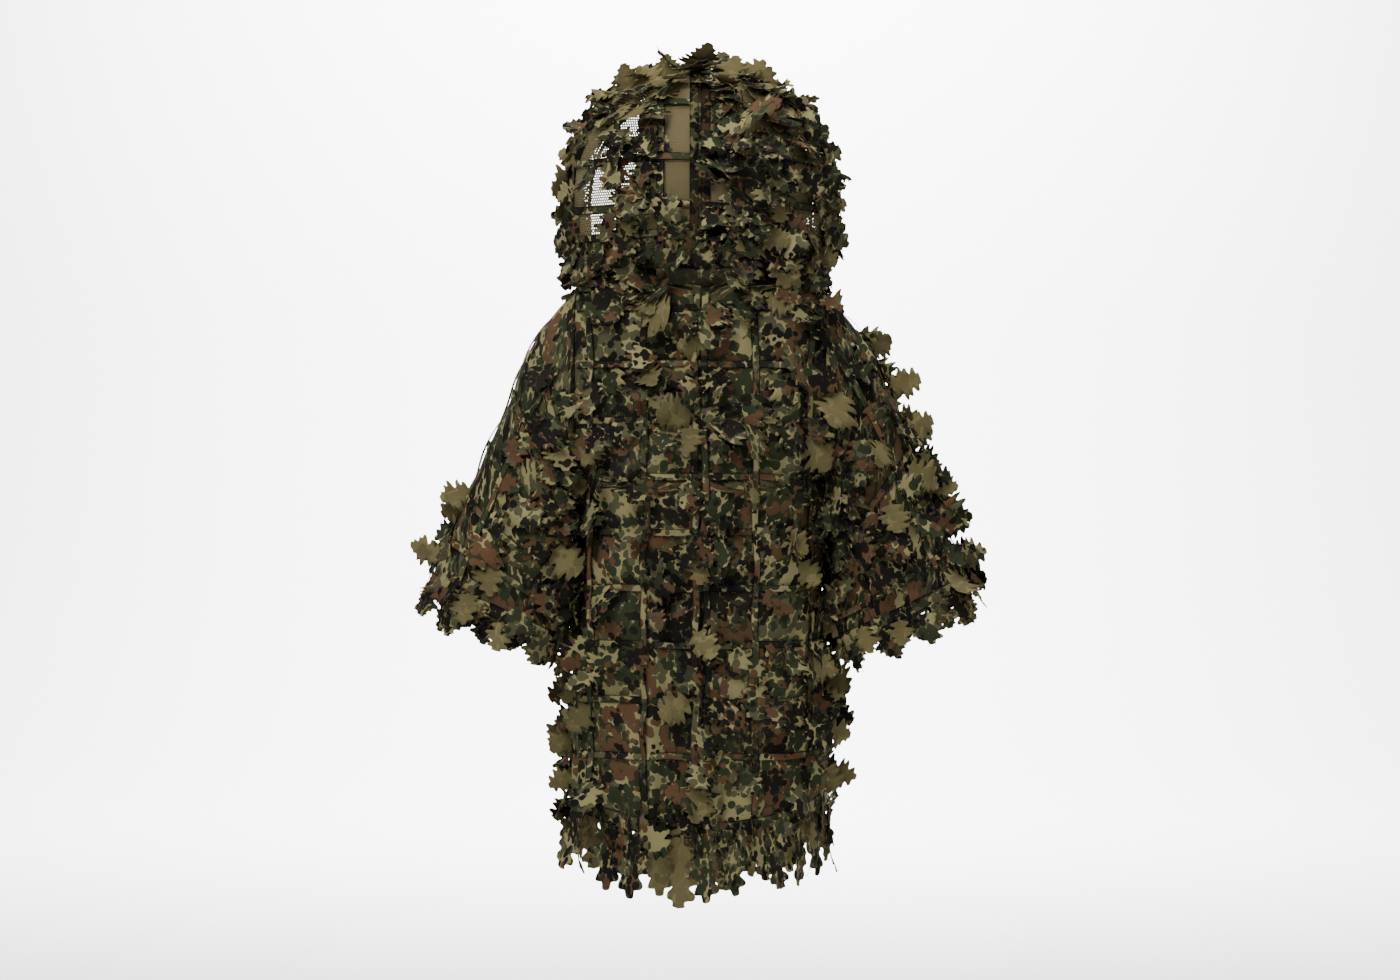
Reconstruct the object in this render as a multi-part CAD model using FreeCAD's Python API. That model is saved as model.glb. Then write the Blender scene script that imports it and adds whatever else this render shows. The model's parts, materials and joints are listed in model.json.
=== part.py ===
import FreeCAD, Part
import math
import os

# Hooded leaf-camouflage coat. Millimetres, +Z up, front faces -Y, wearer's left is +X.
# The origin lies on the centre line at the height of the hood's lower edge.

V = FreeCAD.Vector

# ---- cloth and tape ----
cloth = 3.0
tape_gap = 0.6
tape_thick = 1.6
tape_width = 12.0
leaf_thick = 0.8
leaf_lift = 7.0
seam_gap = 0.15

# ---- trunk ----
side_power = 2.3
armhole_x = 203.6
armhole_bottom = -352.0
yoke_z = -53.0
yoke_split = -17.0
shoulder_gap = 1.5
front_gap = 5.4
hem_radius = 551.0
hem_low = -905.0
hem_band_width = 25.0
row_pitch = 90.0
row_count = 9
first_row = -55.0
column_x = 88.0
row_reach = 186.0
neck_half_width = 90.0
neck_half_depth = 84.0
neck_top = 45.0
neck_band_height = 26.0

# height: half width, half depth, share of an offset that goes upwards
trunk_stations = [
    (-925.0, 210.0, 150.0, 0.0),
    (-760.0, 207.0, 150.0, 0.0),
    (-600.0, 203.0, 150.0, 0.0),
    (-450.0, 200.0, 150.0, 0.0),
    (-350.0, 201.0, 150.0, 0.0),
    (-300.0, 228.0, 150.0, 0.0),
    (-230.0, 252.0, 150.0, 0.0),
    (-150.0, 262.0, 150.0, 0.0),
    (-90.0, 254.0, 150.0, 0.2),
    (-41.0, 228.0, 146.0, 0.6),
    (-18.0, 203.6, 139.0, 0.8),
    (3.0, 178.0, 127.0, 1.0),
    (25.0, 138.0, 108.0, 1.0),
    (45.0, 90.0, 84.0, 1.0),
]

# ---- sleeves (wearer's left; the right one is mirrored) ----
# top x, top z, bottom x, bottom z, half depth, roundness power
sleeve_stations = [
    (204.4, -18.0, 204.4, -345.0, 105.0, 3.0),
    (240.0, -58.0, 209.0, -385.0, 108.0, 2.8),
    (276.0, -119.0, 213.0, -425.0, 110.0, 2.6),
    (312.0, -205.0, 216.0, -475.0, 111.0, 2.4),
    (352.0, -300.0, 219.0, -525.0, 112.0, 2.3),
    (398.0, -412.0, 221.0, -570.0, 112.0, 2.3),
    (445.0, -511.0, 223.0, -607.0, 110.0, 2.3),
]
sleeve_tape_at = [1.3, 2.3, 3.3, 4.3, 5.1]
cuff_band_width = 22.0

# ---- hood ----
hood_bottom = 8.0
hood_front = -165.0
hood_rear_scale = 0.813
hood_front_scale = 1.914
hood_wide_z = 130.0
skirt_height = 40.0
hood_rows = [95.0, 183.0, 272.0]
rim_band_width = 20.0
crown_radius = 86.0
# radius, height of the dome profile
hood_profile = [
    (0.0, 343.0),
    (52.0, 338.0),
    (99.0, 324.0),
    (148.0, 292.0),
    (186.0, 242.0),
    (205.0, 180.0),
    (209.0, 130.0),
    (206.0, 74.0),
    (198.0, 8.0),
    (192.0, -25.0),
]

# ---- front zip ----
zip_top = -60.0
zip_bottom = -880.0
zip_face = -147.0
slider_half_width = 4.8
slider_length = 11.0
pull_length = 30.0


# ------------------------------------------------------------------ helpers

def signed_power(value, power):
    return math.copysign(abs(value) ** power, value)


def between(low, high, share):
    return low + (high - low) * share


def flank(share, power):
    """The other coordinate of a unit superellipse."""
    return max(1.0 - abs(share) ** power, 0.0) ** (1.0 / power)


def round_point(angle, power):
    """Point of the unit superellipse seen at an angle from its centre."""
    c = math.cos(angle)
    s = math.sin(angle)
    reach = (abs(c) ** power + abs(s) ** power) ** (-1.0 / power)
    return c * reach, s * reach


def round_normal(angle, power, a, b):
    u, v = round_point(angle, power)
    return signed_power(u, power - 1.0) / a, signed_power(v, power - 1.0) / b


def table_slope(keys, values, i):
    """Slope of a table at one row, flat where the table turns."""
    if i == 0 or i == len(keys) - 1:
        j = max(i, 1)
        return (values[j] - values[j - 1]) / (keys[j] - keys[j - 1])
    before = (values[i] - values[i - 1]) / (keys[i] - keys[i - 1])
    after = (values[i + 1] - values[i]) / (keys[i + 1] - keys[i])
    if before * after <= 0.0:
        return 0.0
    return 2.0 * before * after / (before + after)


def smooth_table(keys, values, key):
    """Smooth value between the rows of a table."""
    i = 0
    while i < len(keys) - 2 and key > keys[i + 1]:
        i = i + 1
    width = keys[i + 1] - keys[i]
    t = (key - keys[i]) / width
    low = table_slope(keys, values, i) * width
    high = table_slope(keys, values, i + 1) * width
    climb = values[i + 1] - values[i]
    curve = 3.0 * climb - 2.0 * low - high
    twist = low + high - 2.0 * climb
    return values[i] + t * (low + t * (curve + t * twist))


def box(x0, x1, y0, y1, z0, z1):
    return Part.makeBox(x1 - x0, y1 - y0, z1 - z0, V(x0, y0, z0))


def mirrored(shape):
    return shape.mirror(V(0, 0, 0), V(1, 0, 0))


def patch(point, across, along, inner, outer):
    """Cloth between two offsets of a surface; point(u, v, offset) with u and v from 0 to 1."""
    faces = []
    borders = []
    for offset in (inner, outer):
        rows = []
        for i in range(across):
            rows.append([point(i / (across - 1.0), j / (along - 1.0), offset) for j in range(along)])
        surface = Part.BSplineSurface()
        surface.interpolate(rows)
        u0, u1, v0, v1 = surface.bounds()
        faces.append(surface.toShape())
        curves = [surface.uIso(u0), surface.uIso(u1), surface.vIso(v0), surface.vIso(v1)]
        borders.append([curve.toShape() for curve in curves])
    for inside, outside in zip(borders[0], borders[1]):
        faces.append(Part.makeRuledSurface(inside, outside))
    shell = Part.makeShell(faces)
    shell.sewShape()
    solid = Part.makeSolid(Part.makeShell(shell.Faces))
    if solid.Volume < 0.0:
        solid.reverse()
    return solid


def save(name, solids):
    body = solids[0] if len(solids) == 1 else Part.makeCompound(solids)
    body.exportStep("parts/" + name + ".step")
    good = all(s.isValid() and s.Volume > 1.0 for s in solids)
    print(name, len(solids), "solids", "ok" if good else "BAD", round(body.Volume / 1000.0, 2), "cm3")


def save_pair(name, solids):
    save(name + "_left", solids)
    save(name + "_right", [mirrored(s) for s in solids])


def leaf(base, along, normal, length, width):
    """A lobed leaf plate hanging from its stem end."""
    along = V(along).normalize()
    normal = V(normal).normalize()
    side = along.cross(normal).normalize()
    outline = [(0.0, 0.0), (0.5, 0.30), (0.22, 0.48), (0.34, 0.80)]
    outline = outline + [(0.0, 1.0)] + [(-s, t) for s, t in reversed(outline[1:])]
    points = [base + along * (t * length) + side * (s * width) for s, t in outline]
    face = Part.Face(Part.makePolygon(points + [points[0]]))
    return face.extrude(normal * leaf_thick)


# -------------------------------------------------------------------- trunk

def trunk_size(z):
    heights = [row[0] for row in trunk_stations]
    return [smooth_table(heights, [row[i] for row in trunk_stations], z) for i in (1, 2, 3)]


def trunk_at(x, z, face, offset):
    """Coat surface at a sideways place and height, on the back (1) or the front (-1)."""
    a, b, lift = trunk_size(z)
    u = x / a
    return V(u * (a + offset), face * flank(u, side_power) * (b + offset), z + offset * lift)


def trunk_turn(turn, z, face, offset):
    """Coat surface at an angle from the side (0) to the middle (pi / 2)."""
    u, v = round_point(turn, side_power)
    a, b, lift = trunk_size(z)
    return V(u * (a + offset), face * v * (b + offset), z + offset * lift)


def turn_of(x, z):
    """Angle at which the coat surface has this sideways place."""
    share = min(x / trunk_size(z)[0], 1.0)
    return math.atan2(flank(share, side_power), share)


def hem_height(x):
    return hem_low + hem_radius - math.sqrt(hem_radius ** 2 - x ** 2)


def side_turn(z):
    if z < armhole_bottom:
        return seam_gap / 150.0
    if z < yoke_z:
        return turn_of(armhole_x, z)
    return max(turn_of(trunk_size(yoke_split)[0], z), shoulder_gap / 200.0)


def middle_turn(z, face):
    return turn_of(seam_gap if face > 0 else front_gap, z)


def panel_point(face, low, high):
    """Left half of the back or the front between two levels; no low level means the hem."""
    def point(u, v, offset):
        bottom = low
        if low is None:
            hem_x = trunk_turn(between(0.0, math.pi / 2.0, u), -890.0, face, 0.0).x
            bottom = hem_height(hem_x)
        z = between(bottom, high, v)
        turn = between(side_turn(z), middle_turn(z, face), u)
        return trunk_turn(turn, z, face, offset)
    return point


def yoke_side_point(face):
    """Lower part of the shoulder yoke, its rows closing up where the armhole edge turns into the shoulder."""
    panel = panel_point(face, yoke_z + seam_gap, yoke_split - seam_gap)
    return lambda u, v, offset: panel(u, 1.0 - (1.0 - v) ** 2, offset)


def strip_point(face, left, right, low, high):
    """A strip of the coat surface between sideways limits and levels; no low level means near the hem."""
    def point(u, v, offset):
        x = between(left, right, u)
        bottom = low
        if low is None:
            bottom = hem_height(x) + hem_band_width + 2.0
        return trunk_at(x, between(bottom, high, v), face, offset)
    return point


def hem_point(face, start, end):
    """Band along the curved hem between two angles measured from the left side."""
    def point(u, v, offset):
        spot = trunk_turn(between(start, end, u), -890.0, face, 0.0)
        z = hem_height(spot.x) + v * hem_band_width
        return trunk_turn(between(start, end, u), z, face, offset)
    return point


def build_panels():
    for face, side in ((1.0, "back"), (-1.0, "front")):
        save_pair(side + "_panel", [patch(panel_point(face, None, yoke_z - seam_gap), 15, 33, -cloth, 0.0)])
        lower = patch(yoke_side_point(face), 15, 12, -cloth, 0.0)
        upper = patch(panel_point(face, yoke_split + seam_gap, neck_top - 0.2), 15, 12, -cloth, 0.0)
        save_pair("shoulder_yoke_" + side, [lower, upper])


def build_neck_band():
    outer = Part.Ellipse(V(0, 0, 0), neck_half_width, neck_half_depth).toShape()
    inner = Part.Ellipse(V(0, 0, 0), neck_half_width - cloth, neck_half_depth - cloth).toShape()
    ring = Part.Face(Part.Wire([outer])).cut(Part.Face(Part.Wire([inner])))
    band = ring.extrude(V(0, 0, neck_band_height)).translated(V(0, 0, neck_top))
    band = band.cut(box(-front_gap, front_gap, -300, 0, 0, 100))
    save("neck_band", band.Solids)
    bar = box(-30, 30, 70.0, 71.6, 50, 58)
    legs = [box(s * 28.5 - 1.5, s * 28.5 + 1.5, 71.0, 75.8, 50, 58) for s in (-1, 1)]
    save("hanger_loop", bar.fuse(legs).Solids)


def build_hem_band():
    side = 0.002
    top = tape_gap + tape_thick
    back = patch(hem_point(1.0, side, math.pi - side), 31, 4, tape_gap, top)
    front = patch(hem_point(-1.0, side, middle_turn(-890.0, -1.0)), 17, 4, tape_gap, top)
    save("hem_band", [back, front, mirrored(front)])


def row_heights():
    return [first_row - row_pitch * i for i in range(row_count)]


def build_trunk_tapes():
    half = tape_width / 2.0
    top = tape_gap + tape_thick
    back = [strip_point(1.0, -row_reach, row_reach, z - half, z + half) for z in row_heights()]
    save("back_row_tapes", [patch(point, 25, 4, tape_gap, top) for point in back])
    front = [strip_point(-1.0, 22.0, row_reach, z - half, z + half) for z in row_heights()]
    save_pair("front_row_tapes", [patch(point, 15, 4, tape_gap, top) for point in front])
    over = top + tape_gap
    centre = [strip_point(1.0, x - 5.0, x + 5.0, None, -34.0) for x in (-6.5, 6.5)]
    save("centre_back_tapes", [patch(point, 4, 41, over, over + tape_thick) for point in centre])
    for face, side in ((1.0, "back"), (-1.0, "front")):
        column = strip_point(face, column_x - half, column_x + half, None, -64.0)
        save_pair(side + "_column_tape", [patch(column, 4, 41, over, over + tape_thick)])


def trunk_leaf(x, z, face, length, width):
    a, b, lift = trunk_size(z)
    depth = b * flank(x / a, side_power)
    across = signed_power(x / a, side_power - 1.0) / a
    normal = V(across, face * (depth / b) ** (side_power - 1.0) / b, 0).normalize()
    base = V(x, face * depth, z) + normal * leaf_lift
    return leaf(base, V(0, 0, -1), normal, length, width)


def trunk_leaves(face, columns):
    leaves = []
    for row, z in enumerate(row_heights()):
        shift = 9.0 if row % 2 else -9.0
        leaves.extend(trunk_leaf(x + shift, z - 13.0, face, 62.0, 44.0) for x in columns)
    return leaves


def build_trunk_leaves():
    save_pair("back_leaves", trunk_leaves(1.0, (42.0, 116.0, 164.0)))
    save_pair("front_leaves", trunk_leaves(-1.0, (50.0, 118.0, 164.0)))
    sides = []
    for i in range(4):
        for y in (-46.0, 46.0):
            base = V(213.5, y, -650.0 - 62.0 * i)
            sides.append(leaf(base, V(0.35, 0, -0.94), V(0.94, 0, 0.35), 56.0, 40.0))
    save_pair("side_leaves", sides)


def build_hem_fringe():
    leaves = []
    count = 28
    for i in range(count):
        angle = 2.0 * math.pi * (i + 0.5) / count
        u, v = round_point(angle, side_power)
        x = 214.0 * u
        normal = V(*round_normal(angle, side_power, 214.0, 154.0), 0)
        length = 104.0 if i % 2 else 88.0
        leaves.append(leaf(V(x, 154.0 * v, hem_height(x) - 8.0), V(0, 0, -1), normal, length, 42.0))
    save("hem_leaf_fringe", leaves)


# ------------------------------------------------------------------ sleeves

def sleeve_frame(at):
    """Middle, upward direction, half height, half depth and roundness at a station number."""
    keys = [float(i) for i in range(len(sleeve_stations))]
    row = [smooth_table(keys, [s[i] for s in sleeve_stations], at) for i in range(6)]
    top = V(row[0], 0, row[1])
    bottom = V(row[2], 0, row[3])
    return (top + bottom) * 0.5, (top - bottom).normalize(), (top - bottom).Length / 2.0, row[4], row[5]


def sleeve_at(at, angle, offset):
    """Sleeve surface; the angle runs from the top edge (0) over the back to the bottom (pi)."""
    middle, up, half, depth, power = sleeve_frame(at)
    u, v = round_point(angle, power)
    return middle + up * (u * (half + offset)) + V(0, v * (depth + offset), 0)


def sleeve_panel(face):
    def point(u, v, offset):
        gap = seam_gap / 110.0
        return sleeve_at(6.0 * v, face * between(gap, math.pi - gap, u), offset)
    return point


def sleeve_ring(face, at, width):
    """Half a ring of even width around the sleeve, starting towards the shoulder from a station."""
    def point(u, v, offset):
        angle = face * between(0.004, math.pi - 0.004, u)
        unit = (sleeve_at(at, angle, 0.0) - sleeve_at(at - 0.3, angle, 0.0)).Length / 0.3
        return sleeve_at(at - v * width / unit, angle, offset)
    return point


def sleeve_leaf(at, angle, length, width):
    middle, up, half, depth, power = sleeve_frame(at)
    rise, swell = round_normal(angle, power, half, depth)
    here = sleeve_at(at, angle, 0.0)
    along = (sleeve_at(at + 0.5, angle, 0.0) - here).normalize()
    normal = up * rise + V(0, swell, 0)
    normal = (normal - along * normal.dot(along)).normalize()
    return leaf(here + normal * (leaf_lift + 3.0), along, normal, length, width)


def cuff_fringe():
    middle, up, half, depth, power = sleeve_frame(6.0)
    outward = V(up.z, 0, -up.x)
    leaves = []
    for i in range(14):
        angle = 2.0 * math.pi * (i + 0.5) / 14
        rise, swell = round_normal(angle, power, half, depth)
        base = sleeve_at(6.0, angle, 2.0) + outward * 3.0
        leaves.append(leaf(base, outward, up * rise + V(0, swell, 0), 58.0, 38.0))
    return leaves


def build_sleeves():
    top = tape_gap + tape_thick
    save_pair("sleeve_back_panel", [patch(sleeve_panel(1.0), 17, 21, -cloth, 0.0)])
    save_pair("sleeve_front_panel", [patch(sleeve_panel(-1.0), 17, 21, -cloth, 0.0)])
    tapes = []
    cuff = []
    for face in (1.0, -1.0):
        tapes.extend(patch(sleeve_ring(face, at, tape_width), 21, 4, tape_gap, top) for at in sleeve_tape_at)
        cuff.append(patch(sleeve_ring(face, 6.0, cuff_band_width), 21, 4, tape_gap, top))
    save_pair("sleeve_row_tapes", tapes)
    save_pair("sleeve_cuff_band", cuff)
    leaves = []
    for at in (1.45, 2.4, 3.4, 4.35):
        for degrees in (-120.0, -90.0, -55.0, -20.0, 20.0, 55.0, 90.0, 120.0):
            leaves.append(sleeve_leaf(at, math.radians(degrees), 54.0, 40.0))
    save_pair("sleeve_leaves", leaves)
    save_pair("sleeve_cuff_fringe", cuff_fringe())


# --------------------------------------------------------------------- hood

def hood_ring(w, offset):
    """Radius and height at a row number of the dome profile."""
    keys = [float(i) for i in range(len(hood_profile))]
    radius = smooth_table(keys, [p[0] for p in hood_profile], w)
    height = smooth_table(keys, [p[1] for p in hood_profile], w)
    lean = max(height - hood_wide_z, 0.0)
    reach = math.hypot(radius, lean)
    return radius + offset * radius / reach, height + offset * lean / reach


def row_at(column, value):
    """Row number of the profile where the radius (0) or the height (1) has a value."""
    low = 0.0
    high = 6.0 if column == 0 else 9.0
    for _ in range(40):
        middle = (low + high) / 2.0
        here = hood_ring(middle, 0.0)[column]
        before = here < value if column == 0 else here > value
        low = middle if before else low
        high = high if before else middle
    return low


def hood_scale(angle):
    return hood_rear_scale if math.cos(angle) > 0.0 else hood_front_scale


def hood_at(angle, w, offset):
    """Hood surface; the angle runs from straight back (0) over the left to the front (pi)."""
    radius, height = hood_ring(w, offset)
    return V(radius * math.sin(angle), radius * math.cos(angle) * hood_scale(angle), height)


def front_angle(w, front):
    share = front / (hood_ring(w, 0.0)[0] * hood_front_scale)
    return math.acos(max(share, -1.0))


def hood_side(high, low):
    def point(u, v, offset):
        w = between(high, low, v)
        gap = seam_gap / 200.0
        return hood_at(between(gap, front_angle(w, hood_front + 1.5), u), w, offset)
    return point


def hood_crown(u, v, offset):
    s = 2.0 * u - 1.0
    t = 2.0 * v - 1.0
    x = s * math.sqrt(1.0 - t * t / 2.0)
    y = t * math.sqrt(1.0 - s * s / 2.0)
    w = row_at(0, (crown_radius - 0.4) * math.hypot(x, y))
    return hood_at(math.atan2(x, y), w, offset)


def arch_at(turn, y, offset):
    """Hood surface in the plane of one y; the turn runs from straight up (0) towards the left."""
    low = 60.0
    high = 320.0
    for _ in range(40):
        reach = (low + high) / 2.0
        x = reach * math.sin(turn)
        z = hood_wide_z + reach * math.cos(turn)
        inside = z < hood_profile[0][1] and math.hypot(x, y / hood_front_scale) < hood_ring(row_at(1, z), 0.0)[0]
        low = reach if inside else low
        high = high if inside else reach
    reach = low + offset
    return V(reach * math.sin(turn), y, hood_wide_z + reach * math.cos(turn))


def arch_end(y):
    """Turn at which the arch reaches the lower edge."""
    radius = hood_ring(row_at(1, hood_bottom), 0.0)[0]
    x = math.sqrt(radius ** 2 - (y / hood_front_scale) ** 2)
    return math.atan2(x, hood_bottom - hood_wide_z)


def arch_band(front, rear):
    def point(u, v, offset):
        y = between(front, rear, v)
        end = arch_end(y)
        return arch_at(between(-end, end, u), y, offset)
    return point


def hood_column(x, top, bottom):
    def point(u, v, offset):
        w = between(row_at(1, top), row_at(1, bottom), v)
        place = x + (u - 0.5) * tape_width
        return hood_at(math.asin(place / hood_ring(w, 0.0)[0]), w, offset)
    return point


def hood_centre(u, v, offset):
    """Tape over the middle, from the skirt up the back and forward to the rim band."""
    back = row_at(1, hood_bottom + skirt_height + 2.0)
    front = row_at(0, -(hood_front + rim_band_width + 6.0) / hood_front_scale)
    w = between(back, -front, v)
    spot = hood_at(0.0 if w > 0.0 else math.pi, abs(w), offset)
    return V((u - 0.5) * 18.0, spot.y, spot.z)


def hood_row(z):
    half = tape_width / 2.0

    def point(u, v, offset):
        w = between(row_at(1, z + half), row_at(1, z - half), v)
        limit = front_angle(w, hood_front + rim_band_width + 4.0)
        return hood_at(between(-limit, limit, u), w, offset)
    return point


def hood_leaf(degrees, z, length, width):
    angle = math.radians(degrees)
    w = row_at(1, z)
    spot = hood_at(angle, w, 0.0)
    across = hood_at(angle + 0.02, w, 0.0) - spot
    down = hood_at(angle, w + 0.05, 0.0) - spot
    normal = across.cross(down).normalize()
    if normal.dot(V(spot.x, spot.y, 0)) < 0.0:
        normal = normal * -1.0
    return leaf(spot + normal * (leaf_lift + 2.0), down, normal, length, width)


def build_hood():
    crown = row_at(0, crown_radius)
    seam = row_at(1, hood_bottom + skirt_height)
    bottom = row_at(1, hood_bottom)
    save_pair("hood_mesh", [patch(hood_side(crown, seam - 0.005), 25, 17, -cloth, 0.0)])
    save_pair("hood_skirt", [patch(hood_side(seam + 0.005, bottom), 25, 5, -cloth, 0.0)])
    save("hood_crown", [patch(hood_crown, 13, 13, -cloth, 0.0)])
    top = tape_gap + tape_thick
    save("hood_row_tapes", [patch(hood_row(z), 41, 4, tape_gap, top) for z in hood_rows])
    over = top + tape_gap
    save("hood_rim_band", [patch(arch_band(hood_front, hood_front + rim_band_width), 41, 4, over, over + tape_thick)])
    save("hood_rim_piping", [patch(arch_band(hood_front - 6.0, hood_front - 0.6), 41, 4, -cloth, top)])
    save("hood_centre_tape", [patch(hood_centre, 4, 31, over, over + tape_thick)])
    columns = [hood_column(62.0, 300.0, 52.0), hood_column(128.0, 262.0, 52.0)]
    save_pair("hood_column_tapes", [patch(point, 4, 21, over, over + tape_thick) for point in columns])


def build_hood_leaves():
    leaves = []
    for z, turns in ((310.0, (30, 90)), (250.0, (16, 44, 72, 98)), (165.0, (24, 48, 72, 94)), (84.0, (12, 36, 60, 84))):
        leaves.extend(hood_leaf(degrees, z, 52.0, 40.0) for degrees in turns)
    save_pair("hood_leaves", leaves)
    rim = []
    for i in range(19):
        turn = math.radians(-108.0 + 12.0 * i)
        outward = V(math.sin(turn), 0, math.cos(turn))
        base = arch_at(turn, hood_front + 8.0, 5.0)
        rim.append(leaf(base, outward, V(0, -1, 0), 52.0, 36.0))
    save("hood_rim_leaves", rim)


def build_hood_join():
    points = [V(-70, 142.5, -16), V(-70, 144.1, -16), V(-70, 169.0, 6.4), V(-70, 167.2, 6.4)]
    strip = Part.Face(Part.makePolygon(points + [points[0]])).extrude(V(140, 0, 0))
    save("hood_join_tape", [strip])


# ---------------------------------------------------------------------- zip

def build_zip():
    save_pair("zip_tape", [box(3.0, 18.0, zip_face + 1.6, zip_face + 3.0, zip_bottom, zip_top)])
    coil = box(0.9, 2.8, zip_face, zip_face + 2.4, zip_bottom + 6.0, zip_top - 4.0)
    save("zip_coils", [coil, mirrored(coil)])
    top_stop = box(0.9, 2.8, zip_face, zip_face + 2.4, zip_top - 3.8, zip_top - 0.2)
    low_stop = box(-2.8, 2.8, zip_face, zip_face + 2.4, zip_bottom + 0.5, zip_bottom + 5.6)
    save("zip_stops", [top_stop, mirrored(top_stop), low_stop])


def build_slider():
    top = zip_top - 6.0
    low = top - slider_length
    front = box(-slider_half_width, slider_half_width, zip_face - 2.0, zip_face - 0.4, low, top)
    rear = box(-2.6, 2.6, zip_face + 2.8, zip_face + 4.2, low, top)
    post = box(-0.5, 0.5, zip_face - 0.5, zip_face + 2.9, top - 4.0, top)
    bar_y = zip_face - 5.6
    bar_z = top - 4.0
    cheeks = []
    for s in (-1, 1):
        cheeks.append(box(s * 2.5 - 0.5, s * 2.5 + 0.5, bar_y - 1.2, zip_face - 1.9, bar_z - 1.2, bar_z + 1.2))
    bar = Part.makeCylinder(0.8, 5.0, V(-2.5, bar_y, bar_z), V(1, 0, 0))
    save("zip_slider", front.fuse([rear, post, bar] + cheeks).Solids)
    eye = Part.makeCylinder(2.3, 3.2, V(-1.6, bar_y, bar_z), V(1, 0, 0))
    tab = box(-1.6, 1.6, bar_y - 0.6, bar_y + 0.6, bar_z - 6.0, bar_z - 1.6)
    grip = box(-3.4, 3.4, bar_y - 0.6, bar_y + 0.6, bar_z - pull_length, bar_z - 5.5)
    slot = box(-1.6, 1.6, bar_y - 1.0, bar_y + 1.0, bar_z - pull_length + 3.0, bar_z - 13.0)
    bore = Part.makeCylinder(1.2, 8.0, V(-4, bar_y, bar_z), V(1, 0, 0))
    save("zip_pull", eye.fuse([tab, grip]).cut(bore.fuse(slot)).Solids)


os.makedirs("parts", exist_ok=True)
build_panels()
build_neck_band()
build_hem_band()
build_trunk_tapes()
build_trunk_leaves()
build_hem_fringe()
build_sleeves()
build_hood()
build_hood_leaves()
build_hood_join()
build_zip()
build_slider()
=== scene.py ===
import json
import math
import random

import bpy
import numpy as np
from mathutils import Matrix, Vector, noise
from mathutils.bvhtree import BVHTree

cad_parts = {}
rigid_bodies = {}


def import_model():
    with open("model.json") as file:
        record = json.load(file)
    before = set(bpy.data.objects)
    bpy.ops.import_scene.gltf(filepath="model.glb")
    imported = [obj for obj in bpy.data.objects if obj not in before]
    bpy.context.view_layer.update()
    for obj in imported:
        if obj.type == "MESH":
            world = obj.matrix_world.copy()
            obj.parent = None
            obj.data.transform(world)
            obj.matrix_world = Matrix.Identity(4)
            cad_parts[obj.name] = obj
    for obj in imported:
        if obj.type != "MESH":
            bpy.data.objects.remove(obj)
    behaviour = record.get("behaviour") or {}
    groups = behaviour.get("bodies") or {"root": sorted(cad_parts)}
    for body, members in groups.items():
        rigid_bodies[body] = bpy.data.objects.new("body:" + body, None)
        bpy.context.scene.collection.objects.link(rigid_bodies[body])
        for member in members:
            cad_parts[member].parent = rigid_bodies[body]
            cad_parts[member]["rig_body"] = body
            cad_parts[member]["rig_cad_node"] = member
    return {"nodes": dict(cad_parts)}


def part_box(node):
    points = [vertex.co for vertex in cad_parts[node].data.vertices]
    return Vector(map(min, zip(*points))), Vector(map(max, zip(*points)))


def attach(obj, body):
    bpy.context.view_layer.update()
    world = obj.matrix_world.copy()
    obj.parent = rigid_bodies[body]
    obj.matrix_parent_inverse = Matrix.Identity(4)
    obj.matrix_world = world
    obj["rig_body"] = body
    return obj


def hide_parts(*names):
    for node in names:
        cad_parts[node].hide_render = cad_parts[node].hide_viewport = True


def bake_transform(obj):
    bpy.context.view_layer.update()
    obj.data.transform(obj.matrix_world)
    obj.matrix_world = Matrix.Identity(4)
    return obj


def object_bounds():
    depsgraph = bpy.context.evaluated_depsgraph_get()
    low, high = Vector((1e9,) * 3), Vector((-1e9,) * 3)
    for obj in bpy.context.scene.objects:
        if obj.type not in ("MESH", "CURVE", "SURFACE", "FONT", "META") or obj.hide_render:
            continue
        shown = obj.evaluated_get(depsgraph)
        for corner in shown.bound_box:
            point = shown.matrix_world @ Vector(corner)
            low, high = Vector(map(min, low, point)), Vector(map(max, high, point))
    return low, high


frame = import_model()
cad_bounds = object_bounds()
rng = random.Random(11)

# Metres. The coat faces -Y; the wearer's left is +X. One print and weave run through every cloth piece.
HANDS = ((1, "left"), (-1, "right"))
FACES = ((1.0, "back"), (-1.0, "front"))
ROW_PITCH = 0.09
ROWS = [-0.055 - ROW_PITCH * i for i in range(9)]
COLUMNS = [-0.176, -0.088, 0.0, 0.088, 0.176]
TAPE = 0.012
TAPE_THICK = 0.0010
CLOTH = 0.0011
LEAF_CLOTH = 0.0006
NET_PITCH = 0.0048
NET_THREAD = 0.0030
NET_TOP = 0.270
FRONT_EDGE = 0.022
SIDE_EDGE = 0.197
ARM_BOTTOM = -0.3440
SHOULDER_Z = -0.0185
SPILL_SHARE = 0.03
SPILL = 0.008


# ------------------------------------------------------------------ frame

def lo(node):
    return Vector(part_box(node)[0])


def hi(node):
    return Vector(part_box(node)[1])


def cad_tree(*names):
    verts, faces = [], []
    for name in names:
        mesh = frame["nodes"][name].data
        base = len(verts)
        verts.extend(v.co.copy() for v in mesh.vertices)
        faces.extend([base + i for i in p.vertices] for p in mesh.polygons)
    return BVHTree.FromPolygons(verts, faces)


def shown_tree(objects):
    verts, faces = [], []
    for obj in objects:
        base = len(verts)
        verts.extend(v.co.copy() for v in obj.data.vertices)
        faces.extend([base + i for i in p.vertices] for p in obj.data.polygons)
    return BVHTree.FromPolygons(verts, faces)


def cast(tree, start, aim):
    """First place met and its normal, turned towards the start; None twice for a miss."""
    place, normal, _, _ = tree.ray_cast(start, (aim - start).normalized())
    if place is not None and normal.dot(start - aim) < 0.0:
        normal = -normal
    return place, normal


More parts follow.
